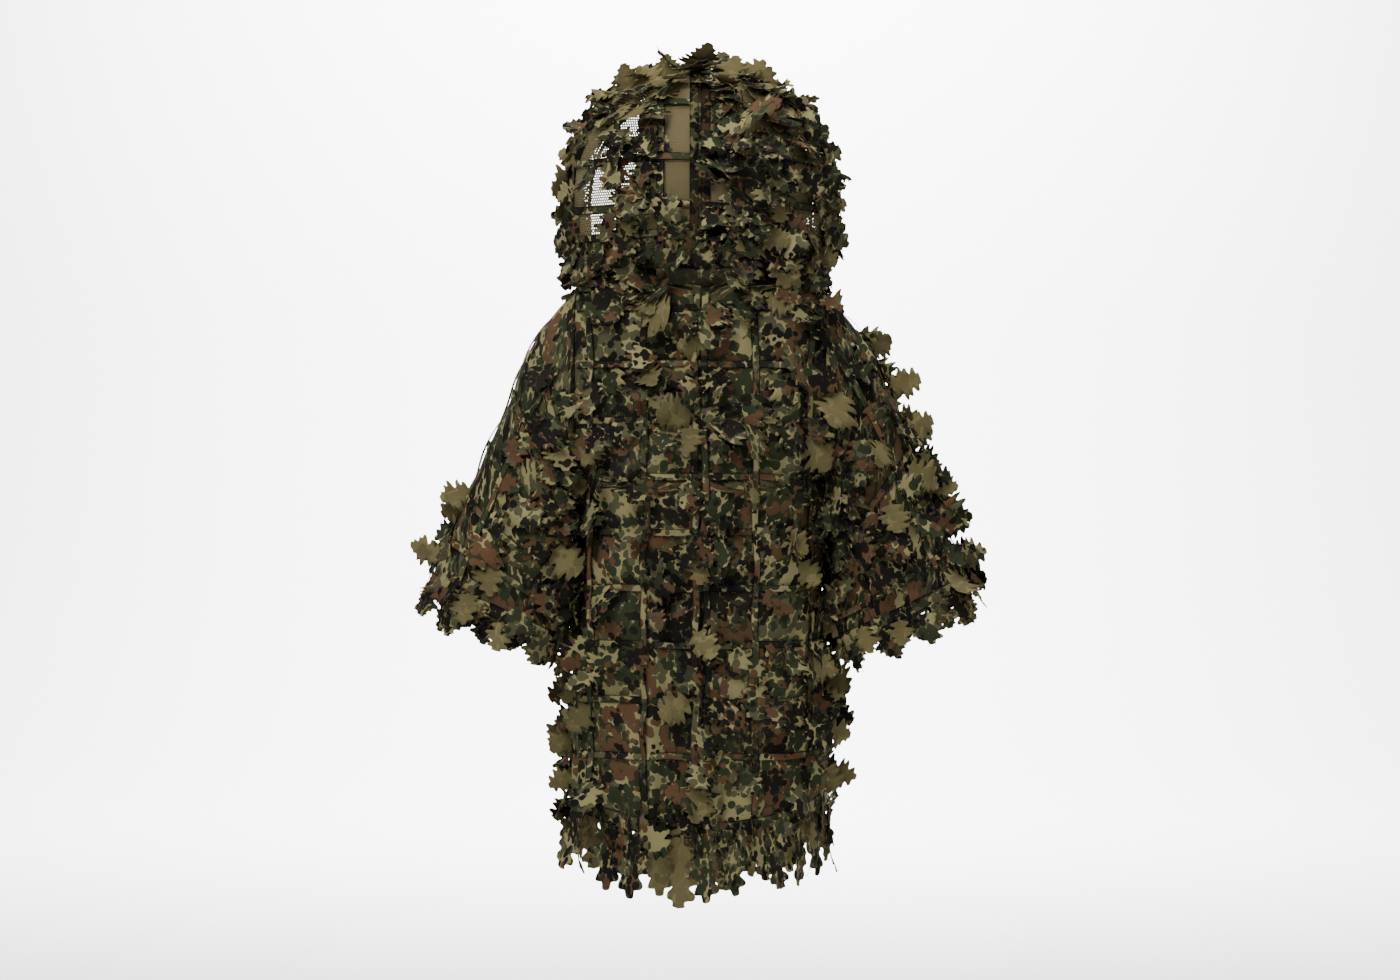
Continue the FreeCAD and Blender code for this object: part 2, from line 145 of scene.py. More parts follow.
def strike(tree, middle, way, reach):
    """Place and outward normal met from outside along a way to the middle, or None on its far side."""
    place, normal = cast(tree, middle + way * reach, middle)
    if place is None or (place - middle).dot(way) < 0.0:
        return None
    return place, normal


def ease(t):
    t = min(max(t, 0.0), 1.0)
    return t * t * (3.0 - 2.0 * t)


def mix(a, b, t):
    return a + (b - a) * t


# -------------------------------------------------------------- materials

def srgb(r, g, b):
    def lin(c):
        c = c / 255.0
        return c / 12.92 if c <= 0.04045 else ((c + 0.055) / 1.055) ** 2.4
    return (lin(r), lin(g), lin(b), 1.0)


KHAKI = srgb(134, 127, 88)
GREY_GREEN = srgb(76, 75, 54)
DARK_GREEN = srgb(44, 50, 33)
RED_BROWN = srgb(84, 62, 44)
BLACK = srgb(24, 22, 19)
LEAF_BACK = srgb(108, 100, 66)
NETTING = srgb(108, 98, 70)


class Nodes:
    """Small helper to wire a material."""

    def __init__(self, name):
        self.material = bpy.data.materials.new(name)
        self.material.use_nodes = True
        self.tree = self.material.node_tree
        self.tree.nodes.clear()
        self.shader = self.add("ShaderNodeBsdfPrincipled")
        output = self.add("ShaderNodeOutputMaterial")
        self.tree.links.new(self.shader.outputs["BSDF"], output.inputs["Surface"])

    def add(self, kind, **settings):
        node = self.tree.nodes.new(kind)
        for key, value in settings.items():
            setattr(node, key, value)
        return node

    def link(self, source, target):
        self.tree.links.new(source, target)

    def maths(self, operation, a, b=0.0, c=None, clamp=False):
        node = self.add("ShaderNodeMath", operation=operation, use_clamp=clamp)
        for socket, value in zip(node.inputs, (a, b, c)):
            if value is None:
                continue
            if isinstance(value, (int, float)):
                socket.default_value = value
            else:
                self.link(value, socket)
        return node.outputs[0]

    def blend(self, factor, a, b, mode="MIX"):
        node = self.add("ShaderNodeMix", data_type="RGBA", blend_type=mode)
        for socket, value in ((node.inputs[0], factor), (node.inputs[6], a), (node.inputs[7], b)):
            if isinstance(value, (int, float, tuple)):
                socket.default_value = value
            else:
                self.link(value, socket)
        return node.outputs[2]

    def span(self, value, low, high, new_low, new_high):
        node = self.add("ShaderNodeMapRange")
        self.link(value, node.inputs["Value"])
        for key, number in (("From Min", low), ("From Max", high), ("To Min", new_low), ("To Max", new_high)):
            node.inputs[key].default_value = number
        return node.outputs[0]

    def noise(self, vector, scale, detail=2.0):
        node = self.add("ShaderNodeTexNoise")
        node.inputs["Scale"].default_value = scale
        node.inputs["Detail"].default_value = detail
        self.link(vector, node.inputs["Vector"])
        return node.outputs["Fac"]

    def grey(self, value):
        node = self.add("ShaderNodeCombineColor")
        for socket in ("Red", "Green", "Blue"):
            self.link(value, node.inputs[socket])
        return node.outputs["Color"]

    def shifted(self, vector, x, y):
        node = self.add("ShaderNodeVectorMath", operation="ADD")
        node.inputs[1].default_value = (x, y, 0.0)
        self.link(vector, node.inputs[0])
        return node.outputs[0]


def spotted_print(n, vector):
    """Spots that gather into blotches, laid colour over colour."""
    layers = [
        (GREY_GREEN, 0.44, 24.0, 84.0, (3.1, 7.7)),
        (DARK_GREEN, 0.47, 22.0, 78.0, (11.3, 2.9)),
        (RED_BROWN, 0.56, 20.0, 82.0, (23.9, 17.1)),
        (BLACK, 0.53, 25.0, 90.0, (5.5, 31.7)),
    ]
    colour = KHAKI
    for paint, level, wide, fine, shift in layers:
        spots = n.add("ShaderNodeTexVoronoi", feature="F1", voronoi_dimensions="3D")
        spots.inputs["Scale"].default_value = fine
        spots.inputs["Randomness"].default_value = 0.85
        n.link(n.shifted(vector, *shift), spots.inputs["Vector"])
        cloud = n.noise(spots.outputs["Position"], wide, 1.0)
        region = n.noise(spots.outputs["Position"], wide * 0.3, 0.0)
        cloud = n.maths("MULTIPLY_ADD", n.maths("SUBTRACT", region, 0.5), 0.55, cloud)
        reach = n.span(cloud, level - 0.02, level + 0.02, 0.0, 0.66)
        inside = n.maths("LESS_THAN", spots.outputs["Distance"], reach)
        colour = n.blend(inside, colour, paint)
    return colour


def weave_bump(n, vector, pitch, strength):
    heights = []
    for direction in ("X", "Y"):
        wave = n.add("ShaderNodeTexWave", wave_type="BANDS", bands_direction=direction)
        wave.inputs["Scale"].default_value = 0.314 / pitch
        wave.inputs["Distortion"].default_value = 0.6
        n.link(vector, wave.inputs["Vector"])
        heights.append(wave.outputs["Fac"])
    height = n.maths("MULTIPLY", heights[0], heights[1])
    crease = n.noise(vector, 60.0, 3.0)
    height = n.maths("MULTIPLY_ADD", crease, 2.2, height)
    bump = n.add("ShaderNodeBump")
    bump.inputs["Strength"].default_value = strength
    bump.inputs["Distance"].default_value = 0.0006
    n.link(height, bump.inputs["Height"])
    n.link(bump.outputs["Normal"], n.shader.inputs["Normal"])


def cloth_coordinates(n):
    return n.add("ShaderNodeUVMap", uv_map="cloth").outputs["UV"]


def tinted(n, colour, low=0.78, high=1.12):
    """Each loose piece is a little lighter or darker than the next."""
    tint = n.add("ShaderNodeAttribute", attribute_type="GEOMETRY", attribute_name="tint").outputs["Fac"]
    return n.blend(1.0, colour, n.grey(n.span(tint, 0.0, 1.0, low, high)), "MULTIPLY")


def worn(n, vector, colour, amount):
    """Faded and dusty patches."""
    patch = n.span(n.noise(vector, 9.0, 4.0), 0.35, 0.75, 0.0, amount)
    return n.blend(patch, colour, srgb(120, 114, 92))


def fabric(name, paint=None, printed=1.0, pitch=0.0009, strength=0.5, dust=0.06, loose=False, dim=1.0):
    n = Nodes(name)
    where = cloth_coordinates(n)
    colour = spotted_print(n, where) if printed > 0.0 else paint
    if printed > 0.0 and paint is not None:
        colour = n.blend(1.0 - printed, colour, paint)
    colour = worn(n, where, colour, dust)
    if loose:
        colour = tinted(n, colour)
    if dim != 1.0:
        colour = n.blend(1.0, colour, (dim, dim, dim, 1.0), "MULTIPLY")
    n.link(colour, n.shader.inputs["Base Color"])
    n.shader.inputs["Roughness"].default_value = 0.9
    n.shader.inputs["Specular IOR Level"].default_value = 0.06
    weave_bump(n, where, pitch, strength)
    return n.material


def plain(name, paint, roughness, metallic=0.0, rough_scale=300.0):
    n = Nodes(name)
    place = n.add("ShaderNodeTexCoord").outputs["Object"]
    speck = n.span(n.noise(place, rough_scale, 3.0), 0.3, 0.7, 0.82, 1.15)
    n.link(n.blend(1.0, paint, n.grey(speck), "MULTIPLY"), n.shader.inputs["Base Color"])
    n.shader.inputs["Roughness"].default_value = roughness
    n.shader.inputs["Metallic"].default_value = metallic
    bump = n.add("ShaderNodeBump")
    bump.inputs["Strength"].default_value = 0.25
    bump.inputs["Distance"].default_value = 0.0002
    n.link(n.noise(place, rough_scale * 2.0, 2.0), bump.inputs["Height"])
    n.link(bump.outputs["Normal"], n.shader.inputs["Normal"])
    return n.material


camo = fabric("camouflage cloth")
camo_inside = fabric("camouflage cloth inside", paint=GREY_GREEN, printed=0.55, dim=0.8)
camo_tape = fabric("camouflage tape", pitch=0.0013, strength=0.8, loose=True, dim=1.15)
dark_tape = fabric("dark camouflage tape", pitch=0.0013, strength=0.8, dim=0.45)
# Dark sides of the tapes: painted shadow along each edge, where the tape stands off the cloth.
tape_edge_shadow = fabric("tape edge painted shadow", pitch=0.0013, strength=0.8, dim=0.3)
leaf_front = fabric("leaf cloth printed side", loose=True)
leaf_back = fabric("leaf cloth plain side", paint=LEAF_BACK, printed=0.22, loose=True)
net_cloth = fabric("netting", paint=NETTING, printed=0.0, pitch=0.0007)
lining_cloth = fabric("crown lining", paint=srgb(104, 94, 64), printed=0.0, pitch=0.0022, strength=1.0)
piping_cloth = fabric("dark piping", paint=srgb(46, 44, 33), printed=0.15)
web_cloth = fabric("webbing", paint=srgb(70, 72, 50), printed=0.0, pitch=0.0016, strength=1.0)
zip_cloth = fabric("zip tape", paint=srgb(62, 64, 44), printed=0.0, pitch=0.0011, strength=0.9)
thread = plain("sewing thread", srgb(58, 56, 38), 0.8)
zip_plastic = plain("zip coil", srgb(48, 50, 38), 0.45)
zip_metal = plain("painted zip metal", srgb(52, 54, 42), 0.5, 0.4)


# ----------------------------------------------------------------- meshes

def new_mesh(name, verts, faces, uvs, materials, slots=None, tint=None, smooth=True):
    """uvs is one pair per vertex, in metres of cloth."""
    mesh = bpy.data.meshes.new(name)
    mesh.from_pydata([tuple(v) for v in verts], [], faces)
    layer = mesh.uv_layers.new(name="cloth")
    loops = np.empty(len(mesh.loops), np.int32)
    mesh.loops.foreach_get("vertex_index", loops)
    layer.data.foreach_set("uv", np.asarray(uvs, np.float32)[loops].ravel())
    for material in materials:
        mesh.materials.append(material)
    if slots is not None:
        mesh.polygons.foreach_set("material_index", np.asarray(slots, np.int32))
    if tint is not None:
        attribute = mesh.attributes.new("tint", "FLOAT", "POINT")
        attribute.data.foreach_set("value", np.asarray(tint, np.float32))
    if smooth:
        mesh.polygons.foreach_set("use_smooth", np.ones(len(mesh.polygons), bool))
    mesh.validate()
    mesh.update()
    obj = bpy.data.objects.new(name, mesh)
    bpy.context.scene.collection.objects.link(obj)
    return obj


def grid_normals(grid, outward):
    du = np.gradient(grid, axis=0)
    dv = np.gradient(grid, axis=1)
    normal = np.cross(du, dv)
    normal = normal / np.maximum(np.linalg.norm(normal, axis=2, keepdims=True), 1e-12)
    side = np.sum(normal * outward, axis=2, keepdims=True)
    return normal * np.where(side < 0.0, -1.0, 1.0)


def grid_cloth(name, grid, outward, thickness, materials, shift=(0.0, 0.0)):
    """A closed sheet with a printed outside and a paler inside."""
    ni, nj, _ = grid.shape
    normal = grid_normals(grid, outward)
    du = np.linalg.norm(np.diff(grid, axis=0), axis=2)
    dv = np.linalg.norm(np.diff(grid, axis=1), axis=2)
    u = np.concatenate([np.zeros((1, nj)), np.cumsum(du, axis=0)])
    v = np.concatenate([np.zeros((ni, 1)), np.cumsum(dv, axis=1)], axis=1)
    uv = np.stack([u + shift[0], v + shift[1]], axis=2).reshape(-1, 2)
    outer = grid.reshape(-1, 3)
    inner = (grid - normal * thickness).reshape(-1, 3)
    index = np.arange(ni * nj).reshape(ni, nj)
    a, b, c, d = index[:-1, :-1], index[1:, :-1], index[1:, 1:], index[:-1, 1:]
    quads = np.stack([a, b, c, d], axis=2).reshape(-1, 4)
    middle = (ni // 2, nj // 2)
    along_i = grid[middle[0] + 1, middle[1]] - grid[middle]
    along_j = grid[middle[0], middle[1] + 1] - grid[middle]
    across = np.cross(along_i, along_j)
    if np.dot(across, normal[middle]) < 0.0:
        quads = quads[:, ::-1]
    back = quads[:, ::-1] + ni * nj
    rim = np.concatenate([index[:, 0], index[-1, 1:], index[-2::-1, -1], index[0, -2:0:-1]])
    following = np.roll(rim, -1)
    edge = np.stack([rim, rim + ni * nj, following + ni * nj, following], axis=1)
    if np.dot(across, normal[middle]) < 0.0:
        edge = edge[:, ::-1]
    faces = np.concatenate([quads, back, edge]).tolist()
    slots = [0] * len(quads) + [1] * len(back) + [0] * len(edge)
    return new_mesh(name, np.concatenate([outer, inner]), faces, np.concatenate([uv, uv]), materials, slots)


class Heap:
    """Collects many small closed pieces into one mesh."""

    def __init__(self):
        self.verts, self.faces, self.uvs, self.slots, self.tint = [], [], [], [], []
        self.count = 0

    def add(self, verts, faces, uvs, slots, tint=0.5):
        verts = np.asarray(verts, float)
        self.faces.extend([i + self.count for i in f] for f in faces)
        self.verts.append(verts)
        self.uvs.append(np.asarray(uvs, float))
        self.slots.extend(slots)
        self.tint.append(np.full(len(verts), tint))
        self.count += len(verts)

    def build(self, name, materials, smooth=True):
        verts = np.concatenate(self.verts)
        return new_mesh(name, verts, self.faces, np.concatenate(self.uvs), materials, self.slots,
                        np.concatenate(self.tint), smooth)


def ribbon(heap, places, normals, width, thickness, lift, slot=0, uv_shift=0.0):
    """A flat closed strip along a path, lying on a surface; lift is one number or one per place."""
    if len(places) < 4:
        return
    places = np.asarray(places, float)
    normals = np.asarray(normals, float)
    normals = normals / np.linalg.norm(normals, axis=1, keepdims=True)
    along = np.gradient(places, axis=0)
    along = along / np.maximum(np.linalg.norm(along, axis=1, keepdims=True), 1e-12)
    side = np.cross(along, normals)
    side = side / np.maximum(np.linalg.norm(side, axis=1, keepdims=True), 1e-12)
    lift = np.broadcast_to(np.asarray(lift, float), (len(places),))[:, None]
    rows = []
    profile = [(-0.5, 0.0), (0.5, 0.0), (0.5, 0.75), (0.39, 1.0), (0.0, 1.05), (-0.39, 1.0), (-0.5, 0.75)]
    for across, up in profile:
        rows.append(places + side * (across * width) + normals * (lift + up * thickness))
    m = len(profile)
    verts = np.stack(rows, axis=1).reshape(-1, 3)
    length = np.concatenate([[0.0], np.cumsum(np.linalg.norm(np.diff(places, axis=0), axis=1))])
    uvs = []
    for i in range(len(places)):
        uvs.extend((uv_shift + across * width, uv_shift * 1.7 + length[i]) for across, up in profile)
    faces = []
    for i in range(len(places) - 1):
        for k in range(m):
            j = (k + 1) % m
            faces.append([i * m + k, (i + 1) * m + k, (i + 1) * m + j, i * m + j])
    faces.append(list(range(m)))
    faces.append([(len(places) - 1) * m + k for k in reversed(range(m))])
    # The strip's side faces take slot 2; on the tapes that slot is the painted shadow along their edges.
    slots = [2 if k % m in (1, 2, 5, 6) else slot for k in range(m * (len(places) - 1))] + [slot, slot]
    heap.add(verts, faces, uvs, slots, rng.random())


def small_box(heap, centre, x_axis, y_axis, z_axis, size, slot=0):
    """A box with bevelled upper edges, for teeth, bar tacks and stitches."""
    x_axis, y_axis, z_axis = (np.asarray(v, float) for v in (x_axis, y_axis, z_axis))
    centre = np.asarray(centre, float)
    verts = []
    for z, inset in ((-0.5, 0.0), (0.2, 0.0), (0.5, 0.22)):
        for x, y in ((-0.5, -0.5), (0.5, -0.5), (0.5, 0.5), (-0.5, 0.5)):
            x, y = x - math.copysign(inset, x), y - math.copysign(inset, y)
            verts.append(centre + x_axis * (x * size[0]) + y_axis * (y * size[1]) + z_axis * (z * size[2]))
    faces = [[3, 2, 1, 0], [8, 9, 10, 11]]
    for ring in (0, 4):
        for k in range(4):
            j = (k + 1) % 4
            faces.append([ring + k, ring + j, ring + 4 + j, ring + 4 + k])
    uvs = [(v[0], v[2]) for v in verts]
    heap.add(verts, faces, uvs, [slot] * len(faces))


def dress(obj, nodes, body=None):
    """Hides the CAD nodes a piece stands for and hangs it on the body it rides on."""
    if nodes:
        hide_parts(*nodes)
    if body:
        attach(obj, body)


# ---------------------------------------------------------- trunk surface

trunk_cad = {
    1.0: cad_tree("back_panel_left", "shoulder_yoke_back_left"),
    -1.0: cad_tree("front_panel_left", "shoulder_yoke_front_left"),
}
arm_x = lo("sleeve_back_panel_left").x - 0.0012
seam_z = lo("shoulder_yoke_back_left").z
neck_z = hi("shoulder_yoke_back_left").z
front_x = lo("front_panel_left").x + 0.0004
yoke_x = hi("shoulder_yoke_back_left").x - 0.0006


def edge_depth(face, x, z):
    found = strike(trunk_cad[face], Vector((x, 0.0, z)), Vector((0.0, face, 0.0)), 1.0)
    return found and abs(found[0].y)


arm_heights = np.linspace(-0.36, 0.0, 145)
arm_edges = {}
for face in (1.0, -1.0):
    arm_edges[face] = [edge_depth(face, yoke_x if z > seam_z else arm_x, z) or 0.0 for z in arm_heights]


def armhole_depth(face, z):
    return float(np.interp(z, arm_heights, arm_edges[face]))


def turn_limits(face, z):
    depth = armhole_depth(face, z) if z > arm_heights[0] else 0.0
    start = math.atan2(depth, arm_x) + (0.0035 if z < SHOULDER_Z else 0.0085)
    if face > 0.0:
        return start, math.pi / 2.0 - 0.003
    depth = edge_depth(face, front_x, z) or 0.15
    return start, math.atan2(depth, front_x)


def radial(face, turn, z):
    way = Vector((math.cos(turn), face * math.sin(turn), 0.0))
    found = strike(trunk_cad[face], Vector((0.0, 0.0, z)), way, 1.0)
    return found and found[0]


def hem_at(face, turn):
    low, high = -0.93, -0.80
    for _ in range(12):
        z = (low + high) / 2.0
        low, high = (low, z) if radial(face, turn, z) else (z, high)
    return high


def trunk_grid(face, low, high, ni, nj):
    """Left half between two levels; low of None means the curved hem."""
    grid = np.zeros((ni, nj, 3))
    lock = np.ones((ni, nj))
    levels = {}
    for i in range(ni):
        s = i / (ni - 1.0)
        a, b = turn_limits(face, -0.85)
        bottom = hem_at(face, mix(a, b, s)) + 0.0004 if low is None else low
        for j in range(nj):
            z = mix(bottom, high, j / (nj - 1.0))
            key = round(z, 5)
            if key not in levels:
                levels[key] = turn_limits(face, z)
            a, b = levels[key]
            grid[i, j] = radial(face, mix(a, b, s), z) or (math.nan,) * 3
            if z > -0.40:
                gap = s * (b - a) * 0.2 + max(-0.35 - z, 0.0)
                lock[i, j] = ease(gap / 0.05)
    return filled(grid), lock


def filled(grid):
    """Rays that slipped through a seam of the block take the place next to them."""
    for _ in range(6):
        for i, j in np.argwhere(np.isnan(grid[:, :, 0])):
            for a, b in ((i, j - 1), (i, j + 1), (i - 1, j), (i + 1, j)):
                if 0 <= a < grid.shape[0] and 0 <= b < grid.shape[1] and not np.isnan(grid[a, b, 0]):
                    grid[i, j] = grid[a, b]
                    break
    return grid


def trunk_fold(p):
    """How far the cloth stands off its block: long soft flutes, creases and the pull of the tape rows."""
    turn = math.atan2(p[1], p[0])
    ring = Vector((math.cos(turn), math.sin(turn), 0.0))
    fall = ease((-0.02 - p[2]) / 0.9)
    flute = noise.noise(ring * 3.6 + Vector((0, 0, p[2] * 1.3))) * (0.003 + 0.012 * fall)
    second = noise.noise(ring * 9.5 + Vector((5.1, 0, p[2] * 3.0))) * (0.0025 + 0.004 * fall)
    crease = (0.32 - abs(noise.noise(ring * 7.0 + Vector((2.0, 9.0, p[2] * 11.0))))) * 0.0065
    crumple = noise.noise(Vector(p) * 34.0) * 0.0016
    row = (p[2] - ROWS[0]) / ROW_PITCH
    pull = abs(math.sin(math.pi * row)) * 0.0035 if p[2] < ROWS[0] else 0.0
    return flute + second + crease + crumple + pull


def displaced(grid, lock, outward, fold):
    normal = grid_normals(grid, outward)
    push = np.array([[fold(grid[i, j]) for j in range(grid.shape[1])] for i in range(grid.shape[0])])
    return grid + normal * (push * lock)[:, :, None]


def outward_of(grid):
    out = grid.copy()
    out[:, :, 2] = 0.05
    return out


trunk_pieces = []
SLIDE = {("back", 1): 0.0, ("back", -1): 0.7, ("front", 1): 1.4, ("front", -1): 2.1}
for face, label in FACES:
    panel, panel_lock = trunk_grid(face, None, seam_z - 0.0005, 42, 112)
    yoke, yoke_lock = trunk_grid(face, seam_z + 0.0005, neck_z - 0.0006, 42, 18)
    for side, hand in HANDS:
        flip = np.array([side, 1.0, 1.0])
        for node, base, lock in ((label + "_panel_" + hand, panel, panel_lock),
                                 ("shoulder_yoke_" + label + "_" + hand, yoke, yoke_lock)):
            grid = base * flip
            grid = displaced(grid, lock, outward_of(grid), trunk_fold)
            closed = grid[0, :, 2] > SHOULDER_Z
            grid[0, closed, 1] = 0.0
            grid[-1, :, 0] = side * (-0.0016 if face > 0.0 else front_x)
            if face > 0.0 and side > 0:
                grid[-3:, :, 1] += 0.0007
            lift = 0.9 if "yoke" in node else 0.0
            obj = grid_cloth(node + "_cloth", grid, outward_of(grid), CLOTH, [camo, camo_inside],
                             (SLIDE[(label, side)], lift))
            dress(obj, [node], "coat")
            trunk_pieces.append(obj)
trunk_skin = shown_tree(trunk_pieces)


def on_trunk(face, x, z):
    """Place and outward normal on the coat at a sideways place and height."""
    return strike(trunk_skin, Vector((x, 0.0, z)), Vector((0.0, face, 0.0)), 0.6)


def round_trunk(turn, z):
    """The same, at an angle from the wearer's left."""
    return strike(trunk_skin, Vector((0.0, 0.0, z)), Vector((math.cos(turn), math.sin(turn), 0.0)), 0.6)


# --------------------------------------------------------------- sleeves

sleeve_cad = cad_tree("sleeve_back_panel_left", "sleeve_front_panel_left")
sleeve_points = [v.co for v in frame["nodes"]["sleeve_back_panel_left"].data.vertices]
cuff_top = max(sleeve_points, key=lambda p: p.x)
cuff_low = min(sleeve_points, key=lambda p: p.z)
start_x = min(p.x for p in sleeve_points)
first_ring = [p for p in sleeve_points if p.x < start_x + 0.0003]
arm_top = max(first_ring, key=lambda p: p.z)
arm_low = min(first_ring, key=lambda p: p.z)
arm_mid = (arm_top + arm_low) / 2.0
cuff_mid = (cuff_top + cuff_low) / 2.0
arm_mid.y = cuff_mid.y = 0.0
arm_up = Vector((0.0, 0.0, 1.0))
cuff_up = Vector((cuff_top.x - cuff_low.x, 0.0, cuff_top.z - cuff_low.z)).normalized()


def sleeve_way(side, v, turn):
    """Middle of the sleeve and the way out of it; v runs from armhole to cuff, turn from the top."""
    t = mix(0.004, 0.995, v)
    middle = arm_mid.lerp(cuff_mid, t)
    up = arm_up.lerp(cuff_up, t).normalized()
    way = Vector((side * up.x, 0.0, up.z)) * math.cos(turn) + Vector((0.0, math.sin(turn), 0.0))
    return Vector((side * middle.x, 0.0, middle.z)), way


def sleeve_column(turn, count):
    """From armhole to cuff; where the ray misses the block's edge the place next to it stands in."""
    column = []
    for j in reversed(range(count)):
        found = strike(sleeve_cad, *sleeve_way(1, j / (count - 1.0), turn), 0.5)
        column.append(found[0] if found else column[-1].copy())
    return column[::-1]


def sleeve_fold(p):
    q = Vector((p[0] * 0.5, p[1], p[2] * 0.5))
    long_fold = noise.noise(Vector((p[1] * 13.0, (p[0] + 0.39 * p[2]) * 3.0, p[2] * 2.2))) * 0.009
    crease = (0.3 - abs(noise.noise(Vector((p[1] * 9.0, p[0] * 16.0, p[2] * 12.0 + 4.0))))) * 0.008
    return long_fold + crease + noise.noise(q * 60.0) * 0.0014 + 0.001


def sleeve_grid(face, side):
    ni, nj = 46, 72
    grid = np.zeros((ni, nj, 3))
    lock = np.zeros((ni, nj))
    for i in range(ni):
        turn = face * mix(0.004, math.pi - 0.004, i / (ni - 1.0))
        column = sleeve_column(turn, nj)
        z = min(max(column[0].z, ARM_BOTTOM), SHOULDER_Z)
        cap = 1.0 - ease(abs(turn) / 0.35)
        depth = armhole_depth(face, z)
        if abs(turn) < 0.8 or abs(turn) > 2.3:
            depth = min(depth, abs(column[0].y))
        shift = Vector((arm_x + 0.0008 - 0.014 * cap, face * depth, z + 0.0075 * cap)) - column[0]
        for j, place in enumerate(column):
            v = j / (nj - 1.0)
            grid[i, j] = place + shift * (1.0 - ease(v / 0.3))
            lock[i, j] = ease(v / 0.16)
    grid = grid * np.array([side, 1.0, 1.0])
    middles = np.array([[arm_mid.lerp(cuff_mid, j / (nj - 1.0)) for j in range(nj)]] * ni)
    outward = grid - middles * np.array([side, 1.0, 1.0])
    return displaced(grid, lock, outward, sleeve_fold), outward


def bend_sleeve(obj):
    """Bakes the piece's transform into its mesh; nothing is bent."""
    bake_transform(obj)


sleeve_skins = {}
for side, hand in HANDS:
    parts = []
    for face, label in FACES:
        grid, outward = sleeve_grid(face, side)
        node = "sleeve_" + label + "_panel_" + hand
        shift = (3.0 + side + face * 0.3, 0.4)
        obj = grid_cloth(node + "_cloth", grid, outward, CLOTH, [camo, camo_inside], shift)
        dress(obj, [node])
        bend_sleeve(obj)
        parts.append(obj)
    sleeve_skins[side] = shown_tree(parts)


def on_sleeve(side, v, turn):
    """Place and outward normal on the drawn sleeve; past an opening it may be the far side's."""
    middle, way = sleeve_way(side, v, turn)
    found = cast(sleeve_skins[side], middle + way * 0.5, middle)
    return found if found[0] is not None else None


# ------------------------------------------------------------------ hood

hood_cad = cad_tree("hood_mesh_left", "hood_mesh_right", "hood_skirt_left", "hood_skirt_right", "hood_crown")
hood_low = lo("hood_skirt_left").z
hood_seam = hi("hood_skirt_left").z
hood_rim = lo("hood_mesh_left").y
hood_centre = Vector((0.0, 0.0, 0.13))


def hood_fold(p, n):
    """Sags and dents of the soft hood, the same for every piece on it."""
    q = Vector(p)
    soft = noise.noise(q * 9.0 + Vector((1.3, 0.0, 4.0))) * 0.007
    dent = noise.noise(Vector((q.x * 22.0, q.y * 22.0, q.z * 9.0))) * 0.0035
    fade = ease((q.y - hood_rim) / 0.03)
    return q + n * ((soft + dent - 0.001) * fade)


def on_hood(middle, way):
    """Place and normal on the sagging hood, met along a way to the middle."""
    found = strike(hood_cad, middle, way, 0.9)
    return found and (hood_fold(*found), found[1])


def hood_wall(turn, z):
    """Turn 0 is straight back, positive towards the wearer's left."""
    turn = math.copysign(max(abs(turn), 0.003), turn)
    return on_hood(Vector((0.0, 0.0, z)), Vector((math.sin(turn), math.cos(turn), 0.0)))


def hood_top(x, y):
    place, normal = cast(hood_cad, Vector((x, y, 0.9)), Vector((x, y, 0.0)))
    if place is None or place.z < 0.15:
        return None
    return hood_fold(place, normal), normal


def around_hood(way, y):
    """The hood's own surface, met along a way in the upright plane at y."""
    middle = Vector((0, y, 0.13))
    return cast(hood_cad, middle + way * 0.9, middle)


def front_turn(z, y):
    """Turn at which the hood reaches a y at this height."""
    found = strike(hood_cad, Vector((0.0, y, z)), Vector((1.0, 0.0, 0.0)), 0.9)
    return math.atan2(found[0].x, y) if found else math.pi


def honeycomb(heap, cells, lift):
    """Ring of six quads per hole; lift turns a flat place into a place on the hood."""
    known = {}

    def corner(x, y):
        key = (round(x * 20000), round(y * 20000))
        if key not in known:
            found = lift(x, y)
            known[key] = None
            if found is not None:
                known[key] = heap.count + len(heap.pending)
                heap.pending.append((found, (x, y)))
        return known[key]

    radius = NET_PITCH / math.sqrt(3.0)
    inner = radius * (1.0 - NET_THREAD / NET_PITCH)
    heap.pending = []
    for cx, cy in cells:
        outer = [corner(cx + radius * math.cos(math.radians(a)), cy + radius * math.sin(math.radians(a)))
                 for a in range(30, 390, 60)]
        if None in outer:
            continue
        spots = [heap.pending[i - heap.count][0] for i in outer]
        middle = sum(spots, Vector()) / 6.0
        holes = []
        for k, spot in enumerate(spots):
            holes.append(heap.count + len(heap.pending))
            flat = heap.pending[outer[k] - heap.count][1]
            heap.pending.append((middle.lerp(spot, inner / radius), (mix(cx, flat[0], inner / radius),
                                                                   mix(cy, flat[1], inner / radius))))
        for k in range(6):
            j = (k + 1) % 6
            heap.faces.append([outer[k], outer[j], holes[j], holes[k]])
            heap.slots.append(0)
    verts = np.array([p for p, _ in heap.pending])
    heap.verts.append(verts)
    heap.uvs.append(np.array([uv for _, uv in heap.pending]))
    heap.tint.append(np.full(len(verts), 0.5))
    heap.count += len(verts)


def hex_cells(x0, x1, y0, y1):
    cells = []
    rows = int((y1 - y0) / (NET_PITCH * math.sqrt(3.0) / 2.0))
    for r in range(rows):
        y = y0 + (r + 0.5) * NET_PITCH * math.sqrt(3.0) / 2.0
        for c in range(int((x1 - x0) / NET_PITCH)):
            cells.append((x0 + (c + 0.5 + 0.5 * (r % 2)) * NET_PITCH, y))
    return cells


